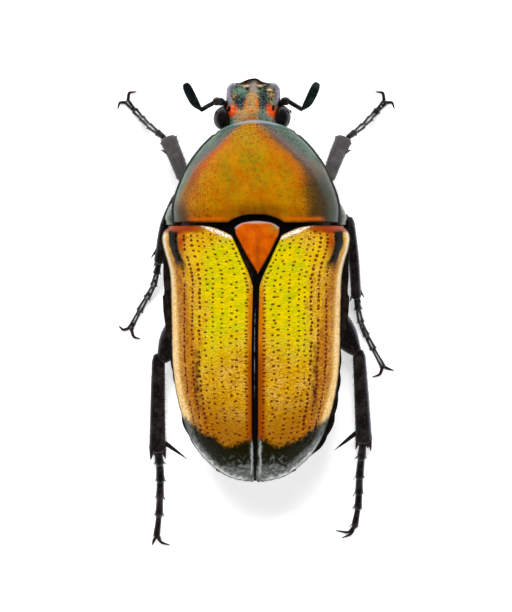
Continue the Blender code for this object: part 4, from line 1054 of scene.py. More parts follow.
def makeEyes():
    look = Finish("eyeFacets", 0.15, 0.04)
    facet, haze = look.cells(eyes["facetsPerMm"]), look.noise(2.5)
    material = look.wear(Base_Color=look.blend(haze, *eyes["ground"]), Roughness=0.12 + haze * 0.08,
                         Coat_Weight=0.35 + haze * 0.1, Normal=look.dents(facet * -1.0, 0.004, 0.35))
    for side in ("left", "right"):
        shape = Shape()
        shape.add(*ball(eyes[side], eyes["halves"], 48, 64))
        makePiece("eye" + side.capitalize(), shape, material, ["eye_" + side])


makeHead()
makeEyes()
print("head and eyes made")


# Black-brown cuticle of the legs and the underside

def darkMaterial(name, deep, pale, warm, roughness, pitScale, bare="000000", specks=0.0):
    look = Finish(name, 0.2, 0.14, 1.5)
    cloud, grain = look.noise(1.6, 4.0, 0.6), look.noise(pitScale, 3.0, 0.6)
    made = {"grain": look.soft(grain, 0.58, 0.72), "specks": look.patches(8.0, 0.6, 0.68, 3.0, 0.6),
            "sheenSoft": look.mark("sheen") * look.soft(grain, 0.3, 0.55),
            "glints": look.mark("glint") * look.patches(2.4, 0.4, 0.52, 2.0),
            "skin": look.mark("patch") * look.patches(6.0, 0.35, 0.55, 3.0)}
    layers = (("grain", 0.5, warm), ("specks", specks, "6c6c70"), ("tip", 0.8, "3c1a0c"),
              ("sheenSoft", 1.0, "a4a4b4"), ("glints", 1.0, "f0f0f4"), ("skin", 1.0, bare))
    ground = look.blend(look.soft(cloud, 0.42, 0.7), deep, pale)
    height = grain * 0.5 + look.soft(look.cells(pitScale * 0.55), 0.0, 0.35)
    return look.wear(Base_Color=look.layers(ground, layers, made), Roughness=roughness + grain * 0.18,
                     Metallic=0.1 + cloud * 0.1, Coat_Weight=0.2 + cloud * 0.2,
                     Normal=look.dents(height, 0.012, 0.7))


legMaterial = darkMaterial("legCuticle", "0e0b0a", "2a2523", "3a2c24", 0.28, 13.0, specks=0.25)
foreTibiaMaterial = darkMaterial("foreTibiaCuticle", "444242", "565452", "4a4440", 0.36, 11.0)
undersideMaterial = darkMaterial("undersideCuticle", "120d0b", "2e241e", "4a3020", 0.28, 9.0, "cfc6ba")
feelerMaterial = darkMaterial("feelerCuticle", "0c1213", "28322f", "201a18", 0.34, 12.0)
sideMaterial = darkMaterial("sidePlateCuticle", "465646", "66766a", "3c4424", 0.32, 9.0)


# Feelers

feelers = {
    "left": {"stalk": ((-1.5, 12.98, 4.5), (-1.95, 13.1, 4.55), (-2.38, 13.2, 4.54), (-2.82, 13.0, 4.5),
                       (-3.42, 12.66, 4.45)),
             "club": ((-3.46, 12.7, 4.45), (-3.85, 13.18, 4.46), (-4.4, 14.28, 4.5))},
    "right": {"stalk": ((1.15, 13.04, 4.5), (1.55, 13.14, 4.55), (1.92, 13.22, 4.54), (2.34, 13.0, 4.5),
                        (2.86, 12.7, 4.45)),
              "club": ((2.92, 12.72, 4.45), (3.28, 13.18, 4.46), (3.82, 14.32, 4.5))},
    "scapeHalf": 0.25, "stalkHalf": 0.14, "clubHalf": 0.3, "leafThick": 0.13,
    "joints": (0, 37, 42, 46, 50, 53, 56, 60),
    "scape": ((0, 0.6), (0.2, 0.78), (0.36, 0.6), (0.62, 1.05), (0.8, 0.92), (1, 0.5)),
    "clubWide": ((0, 0.35), (0.15, 0.55), (0.4, 0.85), (0.75, 1.0), (0.92, 0.9), (1, 0.6)),
    "clubTall": ((0, 0.7), (0.2, 1), (0.85, 1), (1, 0.6)),
    "lumps": {"left": (-2.44, 13.19, 4.54), "right": (1.85, 13.2, 4.54)}, "lumpHalf": (0.28, 0.27, 0.25),
}


def makeFeeler(side):
    spec = feelers
    name = side.capitalize()
    path = pathThrough(spec[side]["stalk"], spec["joints"][-1] + 1)
    shape = Shape()
    for first, last in zip(spec["joints"], spec["joints"][1:]):
        if first == 0:
            shape.add(*tube(path[:last + 1], lambda r: spec["scapeHalf"] * curveAt(spec["scape"], r)))
        else:
            shape.add(*tube(path[first:last + 1], lambda r: spec["stalkHalf"] * (
                0.72 + 0.4 * math.sin(math.pi * (0.2 + 0.65 * r)))))
    shape.add(*ball(spec["lumps"][side], spec["lumpHalf"], 14, 20), tip=0.45)
    makePiece("feelerStalk" + name, shape, feelerMaterial, ["antenna_" + side])
    shape = Shape()
    leaves = pathThrough(spec[side]["club"], 25)
    for level in (-1, 0, 1):
        path = [p + Vector((0, 0, level * spec["leafThick"] * 1.7 * min(1, i / 8))) for i, p in enumerate(leaves)]
        shape.add(*tube(path, lambda r: spec["clubHalf"] * curveAt(spec["clubWide"], r),
                        lambda r: spec["leafThick"] * 0.85 * curveAt(spec["clubTall"], r), 22))
    makePiece("feelerClub" + name, shape, feelerMaterial, ["club_" + side])


for side in ("left", "right"):
    makeFeeler(side)
print("feelers made")


# Side plates beside the pronotum's hind corners

epimera = {"innerX": 4.7, "depth": 1.3,
           # y, x of the outer edge and height of each row
           "rows": ((5.5, 5.62, 5.78), (5.95, 5.64, 5.8), (6.3, 5.54, 5.78), (6.65, 5.38, 5.7), (6.95, 5.15, 5.5))}


def makeEpimeron(side, sign):
    spec = epimera
    outerAt, topAt = (curve([(line[0], line[k]) for line in spec["rows"]]) for k in (1, 2))
    s = np.linspace(0, 1, 31)
    y = np.linspace(spec["rows"][0][0], spec["rows"][-1][0], 41)[:, None]
    x = between(spec["innerX"], outerAt(y), s)
    upper = row(sign * x, y, topAt(y) - 0.35 * s ** 2 - 0.45 * s ** 8 + 0.04 * bump(s, 0.5, 0.25))
    lower = row(sign * (x - 0.1 * s), y, topAt(y) - spec["depth"])
    marks = {"tip": 0.9 * bump(s, 0.62, 0.12) * window(y, 6.7, 6.3, 5.7, 5.5)}
    makePiece("epimeron" + side.capitalize(), shell(upper, lower, 5, marks), sideMaterial,
              ["epimeron_" + side])


for side, sign in (("left", -1), ("right", 1)):
    makeEpimeron(side, sign)


# Legs

foreLeg = {
    "coxa": (-1.35, 8.75, 3.1), "coxaHalf": (0.85, 0.85, 0.9),
    "femur": ((-2.1, 8.68, 2.95), (-3.3, 8.35, 3.15), (-4.3, 8.1, 3.45)), "femurHalf": 0.6,
    "tibia": ((-4.5, 8.35, 3.52), (-4.95, 9.6, 3.15), (-5.5, 10.88, 2.52)), "tibiaHalf": (0.41, 0.54),
    "foot": ((-5.72, 10.95, 2.4), (-6.64, 11.68, 1.4), (-7.46, 12.54, 0.45), (-8.07, 13.22, 0.2)),
    "footHalf": (0.2, 0.2), "brush": 0.5,
    "claws": (((-8.5, 13.2, 0.2), (-8.68, 12.82, 0.1)), ((-7.95, 13.8, 0.2), (-7.5, 13.88, 0.1))),
    "spurs": (((-5.3, 9.92, 3.0), (-5.95, 10.2, 2.8)), ((-5.5, 10.55, 2.7), (-5.98, 10.84, 2.5)),
              ((-5.25, 10.6, 2.6), (-4.98, 11.1, 2.35))),
    "toothHalf": 0.17, "glint": 0.9, "innerSide": 1,
}
middleLeft = {
    "coxa": (-1.65, 4.45, 2.55), "coxaHalf": (0.9, 0.8, 0.85),
    "femur": ((-2.2, 4.95, 2.1), (-3.7, 6.2, 2.35), (-4.85, 7.3, 2.72)), "femurHalf": 0.65,
    "tibia": ((-5.0, 7.3, 2.72), (-5.75, 5.4, 2.4), (-6.08, 3.2, 1.85)), "tibiaHalf": (0.24, 0.31),
    "foot": ((-6.08, 3.15, 1.7), (-6.4, 1.8, 0.95), (-7.15, 0.42, 0.3), (-7.88, -0.97, 0.2)),
    "footHalf": (0.2, 0.18), "brush": 0.7,
    "claws": (((-8.3, -1.05, 0.2), (-8.6, -0.8, 0.1)), ((-7.65, -1.5, 0.2), (-7.25, -1.62, 0.1))),
    "spurs": (((-6.1, 4.1, 2.1), (-6.6, 3.4, 1.8)), ((-5.95, 3.5, 1.9), (-5.66, 2.85, 1.6)),
              ((-6.15, 3.4, 1.9), (-6.42, 2.9, 1.6))),
    "glint": 0.7, "innerSide": 1,
}
middleRight = {
    "coxa": (1.65, 4.45, 2.55), "coxaHalf": (0.9, 0.8, 0.85),
    "femur": ((2.3, 4.7, 2.1), (4.2, 5.5, 2.4), (5.6, 5.95, 2.72)), "femurHalf": 0.65,
    "tibia": ((5.8, 5.85, 2.72), (6.1, 3.5, 2.4), (6.28, 1.0, 1.85)), "tibiaHalf": (0.35, 0.32),
    "foot": ((6.28, 0.95, 1.7), (6.55, -0.5, 0.95), (7.2, -1.95, 0.3), (7.98, -3.4, 0.2)),
    "footHalf": (0.2, 0.18), "brush": 0.7,
    "claws": (((7.75, -3.85, 0.2), (7.3, -4.02, 0.1)), ((8.3, -3.5, 0.2), (8.64, -3.6, 0.1))),
    "spurs": (((6.4, 1.6, 2.0), (6.78, 0.95, 1.8)), ((6.1, 1.3, 1.9), (5.86, 0.7, 1.6)),
              ((6.35, 1.2, 1.9), (6.55, 0.6, 1.6))),
    "sheen": 0.6, "glint": 0.55, "innerSide": -1,
}
hindLeft = {
    "femur": ((-1.9, 0.05, 1.75), (-4.4, -0.75, 1.85), (-5.84, -2.85, 2.15)), "femurHalf": 0.98,
    "tibia": ((-6.1, -2.7, 2.12), (-6.15, -5.8, 1.7), (-6.17, -8.62, 1.15)), "tibiaHalf": (0.41, 0.52),
    "foot": ((-6.14, -8.5, 1.07), (-6.0, -10.4, 0.5), (-6.06, -12.3, 0.22), (-6.24, -14.05, 0.2)),
    "footHalf": (0.27, 0.21),
    "claws": (((-6.42, -14.3, 0.2), (-6.5, -14.55, 0.1)), ((-5.9, -14.4, 0.2), (-5.4, -14.55, 0.1))),
    "spurs": (((-6.46, -8.25, 1.2), (-6.6, -9.22, 1.0)), ((-5.86, -8.3, 1.15), (-5.67, -9.14, 1.0)),
              ((-6.3, -8.45, 1.2), (-6.36, -8.95, 1.1)), ((-5.95, -7.95, 1.2), (-4.3, -9.16, 0.9))),
    "toothHalf": 0.22, "brush": 1.5, "innerSide": 1,
}
hindRight = {
    "femur": ((1.9, 0.15, 1.75), (4.55, -0.4, 1.85), (6.22, -2.35, 2.15)), "femurHalf": 0.98,
    "tibia": ((6.44, -2.45, 2.12), (6.62, -5.4, 1.7), (6.76, -8.05, 1.15)), "tibiaHalf": (0.41, 0.52),
    "foot": ((6.72, -7.95, 1.08), (6.5, -10.2, 0.5), (6.42, -11.9, 0.22), (6.18, -13.4, 0.2)),
    "footHalf": (0.26, 0.21),
    "claws": (((5.75, -13.75, 0.2), (5.02, -13.65, 0.1)), ((5.95, -13.85, 0.2), (5.4, -14.1, 0.1))),
    "spurs": (((7.06, -7.7, 1.2), (7.2, -8.66, 1.05)), ((6.92, -7.85, 1.2), (7.02, -8.5, 1.1)),
              ((6.46, -7.7, 1.15), (6.24, -8.56, 1.0)), ((6.6, -7.85, 1.15), (6.47, -8.45, 1.0)),
              ((6.4, -7.4, 1.2), (4.92, -8.6, 0.9))),
    "sheen": 0.75, "toothHalf": 0.19, "brush": 1.9, "innerSide": -1,
}
# what all legs share: outlines along each part, and where the foot's joints are
legForm = {
    "femurWide": ((0, 0.55), (0.2, 0.9), (0.5, 1.0), (0.75, 0.9), (0.92, 0.62), (1, 0.42)),
    "femurTall": ((0, 0.7), (0.3, 1), (0.7, 1), (1, 0.6)), "femurHalfTall": 0.5, "femurHairs": 22,
    "tibiaWide": ((0, 0.8), (0.06, 1), (0.9, 1), (0.97, 1.06), (1, 0.9)),
    "tibiaTall": ((0, 0.9), (0.1, 1), (0.9, 1), (1, 0.85)), "tibiaHalfTall": 0.26, "tibiaHairs": 96,
    "footJoints": (0.0, 0.17, 0.36, 0.55, 0.74, 1.0), "flatness": 0.92,
    # half sizes at the root; half size at the tip and power of the taper
    "longSpur": 1.2, "spurHalf": 0.16, "toothHalf": 0.1, "spurTaper": (0.014, 1.7),
    "clawHalf": 0.11, "clawTaper": (0.03, 2.2), "clawLift": 0.16,
    "ring": ((0, 0.74), (0.12, 0.9), (0.6, 1.02), (0.88, 1.14), (1, 1.0)),
    "lastRing": ((0, 0.66), (0.15, 0.8), (0.5, 0.9), (0.85, 1.04), (1, 0.85)),
}


def mirrored(value, key=""):
    # the same leg on the other side; half sizes and single numbers stay
    if isinstance(value, dict):
        return {name: mirrored(part, name) for name, part in value.items()}
    if key.endswith("Half") or not isinstance(value, tuple):
        return value
    return tuple(mirrored(part) for part in value) if isinstance(value[0], tuple) else (-value[0],) + value[1:]


legs = {"ForeLeft": foreLeg, "ForeRight": dict(mirrored(foreLeg), innerSide=-1), "MiddleLeft": middleLeft,
        "MiddleRight": middleRight, "HindLeft": hindLeft, "HindRight": hindRight}


def snake(name):
    # node names have underscores before each capital
    return "".join("_" + c.lower() if c.isupper() else c for c in name)


def makeLegPiece(name, shape, material=legMaterial):
    makePiece(name, shape, material, [snake(name)])


def addShaft(shape, leg, path, wideAt, tallAt, sides, power):
    # a thigh or a shin with pale sheen along its inner side
    points, faces = tube(path, wideAt, tallAt, sides)
    turns = [math.cos(2 * math.pi * (k % sides + 0.5) / sides) * leg["innerSide"] for k in range(len(points))]
    shape.add(points, faces, sheen=[leg.get("sheen", 0.12) * max(0.0, turn) ** power for turn in turns])


def makeFemur(leg, tag):
    form = legForm
    path = pathThrough(leg["femur"], 31)
    shape = Shape()

    def wideAt(r):
        return leg["femurHalf"] * curveAt(form["femurWide"], r)

    addShaft(shape, leg, path, wideAt, lambda r: form["femurHalfTall"] * curveAt(form["femurTall"], r), 28, 12)
    dice = random.Random(len(tag) * 3 + 1)
    for _ in range(form["femurHairs"]):
        i = dice.randrange(6, 29)
        side = dice.choice((-1, 1))
        ahead = aheadAt(path, i)
        across = crossing(ahead) * side
        way = across + ahead * 0.5 + Vector((0, 0, dice.uniform(-0.6, 0.1)))
        shape.add(*bristle(path[i] + across * wideAt(i / 30) * 0.96, way, dice.uniform(0.12, 0.24)), tip=0.6)
    makeLegPiece("femur" + tag, shape)


def makeTibia(leg, tag, material):
    form = legForm
    path = pathThrough(leg["tibia"], 41)
    shape = Shape()

    def wideAt(r):
        return between(*leg["tibiaHalf"], r) * curveAt(form["tibiaWide"], r)

    addShaft(shape, leg, path, wideAt, lambda r: form["tibiaHalfTall"] * curveAt(form["tibiaTall"], r), 24, 8)
    for root, point in leg["spurs"]:
        spur = (Vector(point) - Vector(root)).length > form["longSpur"]
        thick = form["spurHalf"] if spur else leg.get("toothHalf", form["toothHalf"])
        shape.add(*spike((root, point), 5, thick, *form["spurTaper"]), tip=0.0 if spur else 0.15)
    dice = random.Random(len(tag) * 7 + 5)
    for _ in range(form["tibiaHairs"]):
        i = dice.randrange(3, 40)
        inner = dice.random() < 0.72
        ahead = aheadAt(path, i)
        across = crossing(ahead)
        if ((across.x > 0) == (leg["innerSide"] > 0)) != inner:
            across = -across
        way = across + ahead * dice.uniform(0.5, 1.3) + Vector((0, 0, dice.uniform(-0.5, 0.3)))
        root = path[i] + across * wideAt(i / 40) * 0.95 + Vector((0, 0, dice.uniform(-0.1, 0.12)))
        shape.add(*bristle(root, way, dice.uniform(0.1, 0.26 if inner else 0.14), 0.013), tip=0.7)
    makeLegPiece("tibia" + tag, shape, material)


def footDrop(point):
    # the fine foot is slimmer than its solid, so its middle line lies a little lower
    return Vector((point.x, point.y, point.z * (1 - 0.3 * math.exp(-point.z / 0.4))))


def makeFoot(leg, tag):
    form = legForm
    fine = [footDrop(p) for p in pathThrough(leg["foot"], 201)]
    shape = Shape()
    dice = random.Random(len(tag) * 5 + 2)
    joints = list(zip(form["footJoints"], form["footJoints"][1:]))
    for j, (a, b) in enumerate(joints):
        stretch = fine[round(200 * a):round(200 * b) + 1][::2]
        profile = form["lastRing" if j == len(joints) - 1 else "ring"]
        sizes = [between(*leg["footHalf"], between(a, b, r)) * curveAt(profile, r)
                 for r in (i / (len(stretch) - 1) for i in range(len(stretch)))]
        talls = [size * form["flatness"] for size in sizes]
        for point, tall in zip(stretch, talls):
            point.z = max(point.z, tall)
        points, faces = limb(stretch, sizes, talls, 18)
        # the flash glints on the top of all rings but the first
        shine = 0.0 if j == 0 else leg.get("glint", 0.0)
        lit = [shine * (k % 18 == 4) * math.sin(math.pi * k / len(points)) ** 2 for k in range(len(points))]
        shape.add(points, faces, glint=lit)
        ahead = (stretch[-1] - stretch[-4]).normalized()
        across = crossing(ahead)
        for side in (-1, -1, -1, 1, 1, 1):
            way = across * side * dice.uniform(0.5, 1) + ahead * 1.1 + Vector((0, 0, dice.uniform(-0.5, 0.2)))
            root = stretch[-3] + across * side * sizes[-3] * 0.9 + ahead * dice.uniform(-0.05, 0.05)
            longer = leg["brush"] if across.x * side * leg["innerSide"] > 0 else min(0.9, leg["brush"])
            shape.add(*bristle(root, way, longer * dice.uniform(0.16, 0.26), 0.028), tip=0.3)
    for bend, point in leg["claws"]:
        bend = (*bend[:2], form["clawLift"])
        shape.add(*spike((fine[-4], bend, point), 12, form["clawHalf"], *form["clawTaper"]), tip=0.2)
    makeLegPiece("tarsus" + tag, shape)


def makeLegs():
    for tag, leg in legs.items():
        makeFemur(leg, tag)
        makeTibia(leg, tag, foreTibiaMaterial if tag.startswith("Fore") else legMaterial)
        makeFoot(leg, tag)


makeLegs()
print("legs made")


# Underside: the chest, the belly with its rings, the front part and the rear plate

underside = {
    "chest": {"halfWidths": ((1.4, 5.72), (2.5, 5.78), (4.2, 5.74), (4.9, 5.3), (5.3, 4.55), (6.9, 4.1)),
              "lows": ((1.4, 2.45), (4.0, 2.35), (5.5, 2.7), (6.9, 3.5)), "rows": 126,
              "knob": ((0, 3.5, 2.6), (0, 5.2, 2.45), (0, 6.15, 2.5))},
    "belly": {"halfWidths": ((-9.0, 3.2), (-8.35, 3.95), (-7.6, 4.42), (-6.7, 4.78), (-5.4, 5.0), (-4.0, 5.2),
                             (-2.0, 5.3), (-0.9, 5.62), (0.2, 5.78), (1.1, 5.82)),
              "lows": ((-9.0, 3.75), (-8.0, 3.35), (-6.0, 3.0), (-3.0, 2.85), (1.1, 2.8)), "rows": 226,
              "step": -0.95, "back": -9.0, "roof": 4.25, "lean": 0.14, "rings": 6, "ringStep": 0.14},
    "front": {"halfWidths": ((7.25, 4.2), (8.5, 3.85), (9.8, 3.1), (11.1, 1.75)),
              "lows": ((7.25, 3.6), (8.5, 3.4), (9.5, 3.6), (11.1, 4.1)), "rows": 86},
    "columns": 121, "sideWall": 0.5, "seam": 0.3,
}


def bodyBlock(ys, half, low, edge, arch, shift=0.0):
    # closed block: a fine rounded underside and a coarse top that fills the space under the back
    spec = underside
    y, half, low, edge, shift, archHalf, rim, tall = (np.broadcast_to(values, ys.shape)[:, None]
                                                      for values in (ys, half, low, edge, shift, *arch))
    s = np.sin(np.linspace(-1, 1, spec["columns"]) * math.pi / 2)
    wide = np.maximum(half, archHalf + 0.15)
    wall = edge - spec["sideWall"]
    lower = row(wide * s + shift, y, np.minimum(low + (wall - low) * np.abs(s) ** 1.8, wall))
    x, z = archPoint(np.linspace(-math.pi / 2, math.pi / 2, 21), archHalf, rim, tall)
    x = np.hstack((shift - wide, -archHalf, x, archHalf, wide + shift))
    return lower, row(x, y, np.hstack((edge, edge, z, edge, edge)))[::5]


def makeUnder(name, shape, node, sharpAngle=40):
    makePiece(name, shape, undersideMaterial, [node], sharpAngle)


def makeBelly():
    spec = underside["belly"]
    inset = wingCase["thick"] + underside["seam"]
    scale = 1 - inset / (wingCase["bulgeY"] - wingCase["endY"])
    ys = np.linspace(spec["back"], spec["lows"][-1][0], spec["rows"])
    outerY = np.where(ys > wingCase["bulgeY"], ys, wingCase["bulgeY"] + (ys - wingCase["bulgeY"]) / scale)
    share = (spec["step"] - ys) / (spec["step"] - spec["back"]) * spec["rings"]
    share = np.clip(share, 0, spec["rings"] - 0.001) % 1.0
    low = curve(spec["lows"])(ys) - spec["ringStep"] * share * rise(0, 0.06, share)
    low = np.where(ys > spec["step"] + 0.02, spec["roof"], low)
    # towards the rear it shows on the right side only
    shift = spec["lean"] * rise(-3.2, -5.2, ys)
    half = curve(spec["halfWidths"])(ys) - 0.6 * shift + 0.08 * np.sin(math.pi * share)
    edge = curve(wingCase["rims"])(ys) - underside["seam"]
    grid, top = bodyBlock(ys, half, low, edge, wingSize(outerY, inset)[:3], shift)
    across = np.abs(grid[..., 0] - shift[:, None]) / half[:, None]
    x, y = grid[..., 0], grid[..., 1]
    grid[..., 2] += 0.03 * bump(across, 0.78, 0.05) * rise(spec["step"], spec["step"] - 0.3, y)
    grid[..., 2] += 0.01 * blotches(x, y, 0.5, 71)
    onRing = bump(share[:, None], 0.5, 0.28) * rise(spec["step"], spec["step"] - 0.2, y)
    patch = onRing * bump(across, 0.95, 0.1) * (0.6 + 0.4 * blotches(x, y, 0.5, 3))
    makeUnder("belly", shell(grid, top, 0, {"patch": np.clip(patch, 0, 1)}), "abdomen")


def makeChest():
    spec = underside["chest"]
    inset = pronotum["thick"] + underside["seam"]
    ys = np.linspace(spec["lows"][0][0], spec["lows"][-1][0], spec["rows"])
    half, rim, tall, _ = wingSize(np.minimum(ys, 5.32), inset)
    # its front end lies under the pronotum, and is no larger than the space there
    limits = pronotumSize(np.maximum(ys, pronotum["backY"]), inset)
    half, rim, top = (np.where(ys > 5.02, np.minimum(own, limit), own) for own, limit in (
        (half, limits[0]), (rim, limits[1]), (rim + tall, limits[1] + limits[2])))
    grid, top = bodyBlock(ys, curve(spec["halfWidths"])(ys), curve(spec["lows"])(ys), rim - underside["seam"],
                          (half, rim, top - rim))
    x, y = grid[..., 0], grid[..., 1]
    grid[..., 2] += 0.12 * bump(x, 0, 0.06) * rise(4.0, 3.0, y) + 0.08 * bump(y - 0.25 * np.abs(x), 3.9, 0.08)
    grid[..., 2] += 0.1 * bump(np.abs(x), 3.9, 0.09) + 0.012 * blotches(x, y, 0.6, 73)
    shape = shell(grid, top, 0)
    knob = pathThrough(spec["knob"], 21)
    shape.add(*tube(knob, lambda r: 0.5 - 0.2 * r ** 3, lambda r: 0.36 - 0.12 * r ** 2, 24))
    makeUnder("chest", shape, "sternum")


def makeFront():
    spec = underside["front"]
    ys = np.linspace(spec["lows"][0][0], 11.05, spec["rows"])
    half = curve(spec["halfWidths"])(ys)
    limit, rim, tall = pronotumSize(ys, pronotum["thick"] + underside["seam"])
    grid, top = bodyBlock(ys, half, curve(spec["lows"])(ys), rim - underside["seam"],
                          (np.minimum(limit, half) - 0.15, rim, tall))
    x, y = grid[..., 0], grid[..., 1]
    grid[..., 2] += 0.08 * bump(np.abs(x), 2.4, 0.07) - 0.1 * bump(x, 0, 0.3) + 0.012 * blotches(x, y, 0.6, 75)
    makeUnder("frontChest", shell(grid, top, 0), "prosternum")


rearPlate = {"rows": ((3.7, 0.9, 0.1), (3.95, 1.6, 0.3), (4.35, 2.15, 0.5), (4.75, 2.45, 0.6), (5.2, 2.5, 0.65)),
             "frontY": -9.3, "reach": 0.5}


def makeRearPlate():
    spec = rearPlate
    halfAt, bulgeAt = (curve([(line[0], line[k]) for line in spec["rows"]]) for k in (1, 2))
    s = np.linspace(-1, 1, 81)
    z = np.linspace(spec["rows"][0][0], spec["rows"][-1][0], 46)[:, None]
    x = halfAt(z) * s
    ripple = 0.012 * np.sin(z * 42 + 3 * np.sin(x * 2.2)) * (1 - s ** 2)
    y = spec["frontY"] - spec["reach"] - bulgeAt(z) * (1 - s * s) - ripple
    face = row(x, y, z + 0.03 * np.cos(x * 2))
    patch = 0.8 * bump(np.abs(x), 1.5, 0.3) * bump(face[..., 2], 4.6, 0.25)
    makeUnder("rearPlate", shell(face, row(x, spec["frontY"], z), 5, {"patch": patch}), "pygidium")


mouth = {"rows": ((12.1, 0.75), (12.5, 0.95), (13.0, 0.95), (13.5, 0.8), (13.8, 0.5)), "thick": 0.75,
         "palps": ((0.5, 12.9, 2.75), (1.5, 12.95, 2.8), (2.3, 12.55, 3.2)), "palpHalf": 0.13,
         # first and last point and thickness of each joint
         "palpJoints": ((0, 9, 0.8), (9, 18, 0.9), (18, 30, 1.0))}


def makeMouth():
    spec = mouth
    s = np.linspace(-1, 1, 41)
    back, front = spec["rows"][0][0], spec["rows"][-1][0]
    y = np.linspace(back, front, 51)[:, None]
    x = curve(spec["rows"])(y) * s + headSpec["middleX"]
    z = curve(headSpec["lows"])(y) - 0.2
    thick = spec["thick"] * (1 - 0.45 * s ** 2) * (0.85 + 0.15 * np.sin((y - back) * 1.8))
    shape = shell(row(x, y, z - thick + 0.06 * bump(s, 0, 0.07)), row(x, y, z))
    for sign in (-1, 1):
        path = pathThrough([(sign * x + headSpec["middleX"], y, z) for x, y, z in spec["palps"]], 31)
        for first, last, size in spec["palpJoints"]:
            shape.add(*tube(path[first:last + 1], lambda r: spec["palpHalf"] * size * (
                0.65 + 0.45 * math.sin(math.pi * (0.15 + 0.7 * r))), None, 16), tip=0.5)
    makeUnder("mouthparts", shape, "mouthparts", 45)


hindCoxa = {"path": ((0.75, 0.25, 3.1), (2.6, 0.25, 3.2), (4.7, 0.25, 3.7)), "wide": (0.8, 0.85, 0.75),
            "tall": (0.7, 0.7, 0.42)}


def makeCoxae():
    for tag, leg in legs.items():
        if "coxa" in leg:
            shape = Shape()
            shape.add(*ball(leg["coxa"], leg["coxaHalf"], 28, 40))
            makeLegPiece("coxa" + tag, shape)
    spec = hindCoxa
    for side, sign in (("Left", -1), ("Right", 1)):
        path = pathThrough([(sign * x, y, z) for x, y, z in spec["path"]], 31)
        shape = Shape()
        shape.add(*tube(path, *(lambda r, name=name: curveAt(list(enumerate(spec[name])), 2 * r)
                                for name in ("wide", "tall")), 32, 4))
        makeLegPiece("coxaHind" + side, shape)


makeBelly()
makeChest()
makeFront()
makeRearPlate()
makeMouth()
makeCoxae()
print("underside made")


# Near-black skins in the seam between the wing cases and in the other slots: the dark body under the gaps, with
# its shade painted in

seam = {"backY": -10.3, "frontY": 2.6, "half": 0.22, "sink": 0.16, "collarIn": 0.42, "collarThick": 0.38,
        "neck": ((0, 10.7, 5.0), (-0.04, 12.1, 4.9)),
        "ground": ("020202", "0a0808"), "layers": (("gleams", 0.7, "9ca0a8"),),
        # top, bottom and rows of y, first x and last x of the dark slabs in the slots; the neck is a tube, with
        # its half width and half height
        "slabs": {"waistSkin": (4.93, 4.3, ((0.9, -5.76, 5.76), (1.6, -5.7, 5.7))),
                  "tailSkin": (5.05, 3.95, ((-9.45, -1.9, 1.9), (-8.85, -1.9, 1.9))),
                  "breastSkin": (5.55, 4.1, ((6.75, -3.75, 3.75), (7.4, -3.75, 3.75))),
                  "neckSkin": (1.15, 0.75, ()),
                  "cornerSkinLeft": (5.0, 4.6, ((5.05, -4.2, -5.74), (5.8, -4.2, -5.74))),
                  "cornerSkinRight": (5.0, 4.6, ((5.05, 4.2, 5.74), (5.8, 4.2, 5.74)))}}


def makeSkins():
    spec = seam
    suture, topAt = curve(wingCase["suture"]), curve(wingCase["tops"])
    look = Finish("seamSkin", 0.04, 0.2)
    haze = look.noise(2.0)
    made = {"gleams": look.mark("gleam") * look.patches(3.0, 0.35, 0.6, 3.0)}
    material = look.wear(Base_Color=look.layers(look.blend(haze, *spec["ground"]), spec["layers"], made),
                         Roughness=0.45 + haze * 0.1, Coat_Weight=0.02 + haze * 0.04,
                         Normal=look.dents(look.noise(9.0, 2.0), 0.005, 0.5))

    def makeSkin(name, shape, cover=material):
        makePiece(name, shape, cover, [])

    s = np.linspace(-1, 1, 31)
    y = np.linspace(spec["backY"], spec["frontY"], 256)[:, None]
    x = suture(y) + spec["half"] * between(0.5, 1.0, rise(-8.8, -7.0, y)) * s
    z = topAt(y) - spec["sink"] - 0.07 * s ** 2 - 0.1 * rise(-8.0, -9.6, y)
    z = z + 0.03 * bump(s, -0.1, 0.08) * window(y, -5.6, -4.0, 0.0, 1.0)
    gleam = bump(s, -0.1, 0.06) * window(y, -5.6, -4.0, -0.2, 0.8)
    makeSkin("seamSkin", shell(row(x, y, z), row(x, y, z - 0.5), 5, {"gleam": gleam}))
    # the collar closes the slot between the pronotum, the small shield and the wing cases; its near-black is
    # painted shade in that slot
    y = np.linspace(4.3, 6.5, 21)[:, None]
    walls = []
    for inset in (spec["collarIn"], spec["collarIn"] + spec["collarThick"]):
        half, rim, tall, _ = wingSize(np.minimum(y, 5.3), inset)
        limit = pronotumSize(np.maximum(y, pronotum["backY"]), inset)
        x, z = archPoint(np.radians(np.linspace(-89, 89, 121)), np.minimum(half, limit[0] - 0.02),
                         np.minimum(rim, limit[1]) - 0.25, tall)
        walls.append(row(x, y, z))
    makeSkin("collarSkin", shell(*walls))
    # slabs close the slots behind the chest, before both ends of the underside and behind the side plates; all but
    # the waist's are near-black, painted shade in the slots
    for name, (roof, base, rows) in spec["slabs"].items():
        if not rows:
            shape = Shape()
            shape.add(*tube(pathThrough(spec["neck"], 15), lambda r: roof, lambda r: base, 32))
        else:
            upper = np.array([[(x, y, roof) for x in np.linspace(x0, x1, 11)] for y, x0, x1 in rows])
            shape = shell(upper, upper - np.array((0, 0, roof - base)), 1)
        makeSkin(name, shape, undersideMaterial if name == "waistSkin" else material)


makeSkins()
print("skins made")


# Floor, light and camera

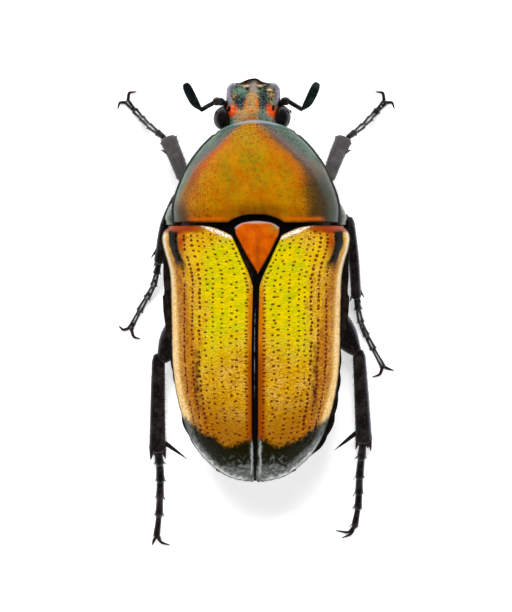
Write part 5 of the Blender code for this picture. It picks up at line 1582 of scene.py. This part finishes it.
studio = {
    # heights between which the surround's glow goes from its first to its last value
    "horizon": (0.0, 0.62), "glow": (1.0, 0.02),
    "lamps": {"key": (2.9, 0.24, (-0.05, 0.25, 0.42)), "fill": (1.1, 0.3, (0.1, -0.3, 0.35))},
    "floor": ("fafafa", "f4f4f4"), "floorGlow": 0.4,
}


def makeStudio():
    spec = studio
    mesh = bpy.data.meshes.new("floor")
    mesh.from_pydata([(-4, -4, 0), (4, -4, 0), (4, 4, 0), (-4, 4, 0)], [], [(0, 1, 2, 3)])
    floor = addObject("floor", mesh)
    look = Finish("floorPaper", 0.1, 0.03, 1.5, Roughness=0.9, Emission_Strength=spec["floorGlow"],
                  Emission_Color=paint("ffffff"))
    mesh.materials.append(look.wear(Base_Color=look.blend(look.noise(0.4) * 0.3, *spec["floor"])))
    # white paper all round and a darker ceiling, which the glossy back reflects
    world = bpy.data.worlds.new("studioSurround")
    world.use_nodes = True
    sky = Nodes(world.node_tree)
    height = sky.put("ShaderNodeSeparateXYZ", {}, {0: sky.put("ShaderNodeTexCoord", {}, {}, "Generated")}, "Z")
    background = sky.tree.nodes["Background"].inputs
    sky.feed(background["Strength"], sky.soft(height, *spec["horizon"], *spec["glow"]))
    background["Color"].default_value = paint("ffffff")
    bpy.context.scene.world = world
    for name, (power, size, place) in spec["lamps"].items():
        light = bpy.data.lights.new(name + "Light", "AREA")
        light.energy, light.size = power, size
        lamp = addObject(name + "Light", light)
        lamp.location = place
        lamp.rotation_euler = (-Vector(place)).to_track_quat("-Z", "Y").to_euler()
        lamp.visible_glossy = False


cameraSpec = {"lens": 700.0, "frameTall": 38.13, "middleY": 0.436, "sharpZ": 5.0, "clip": (0.01, 10)}


def makeCamera():
    spec = cameraSpec
    data = bpy.data.cameras.new("overhead")
    data.lens = spec["lens"]
    data.clip_start, data.clip_end = spec["clip"]
    camera = addObject("overhead", data)
    distance = spec["frameTall"] * spec["lens"] / data.sensor_width
    camera.location = (0, spec["middleY"] * mm, (distance + spec["sharpZ"]) * mm)
    bpy.context.scene.camera = camera


makeStudio()
makeCamera()
bpy.context.scene.view_settings.view_transform = "Standard"
print("studio made")
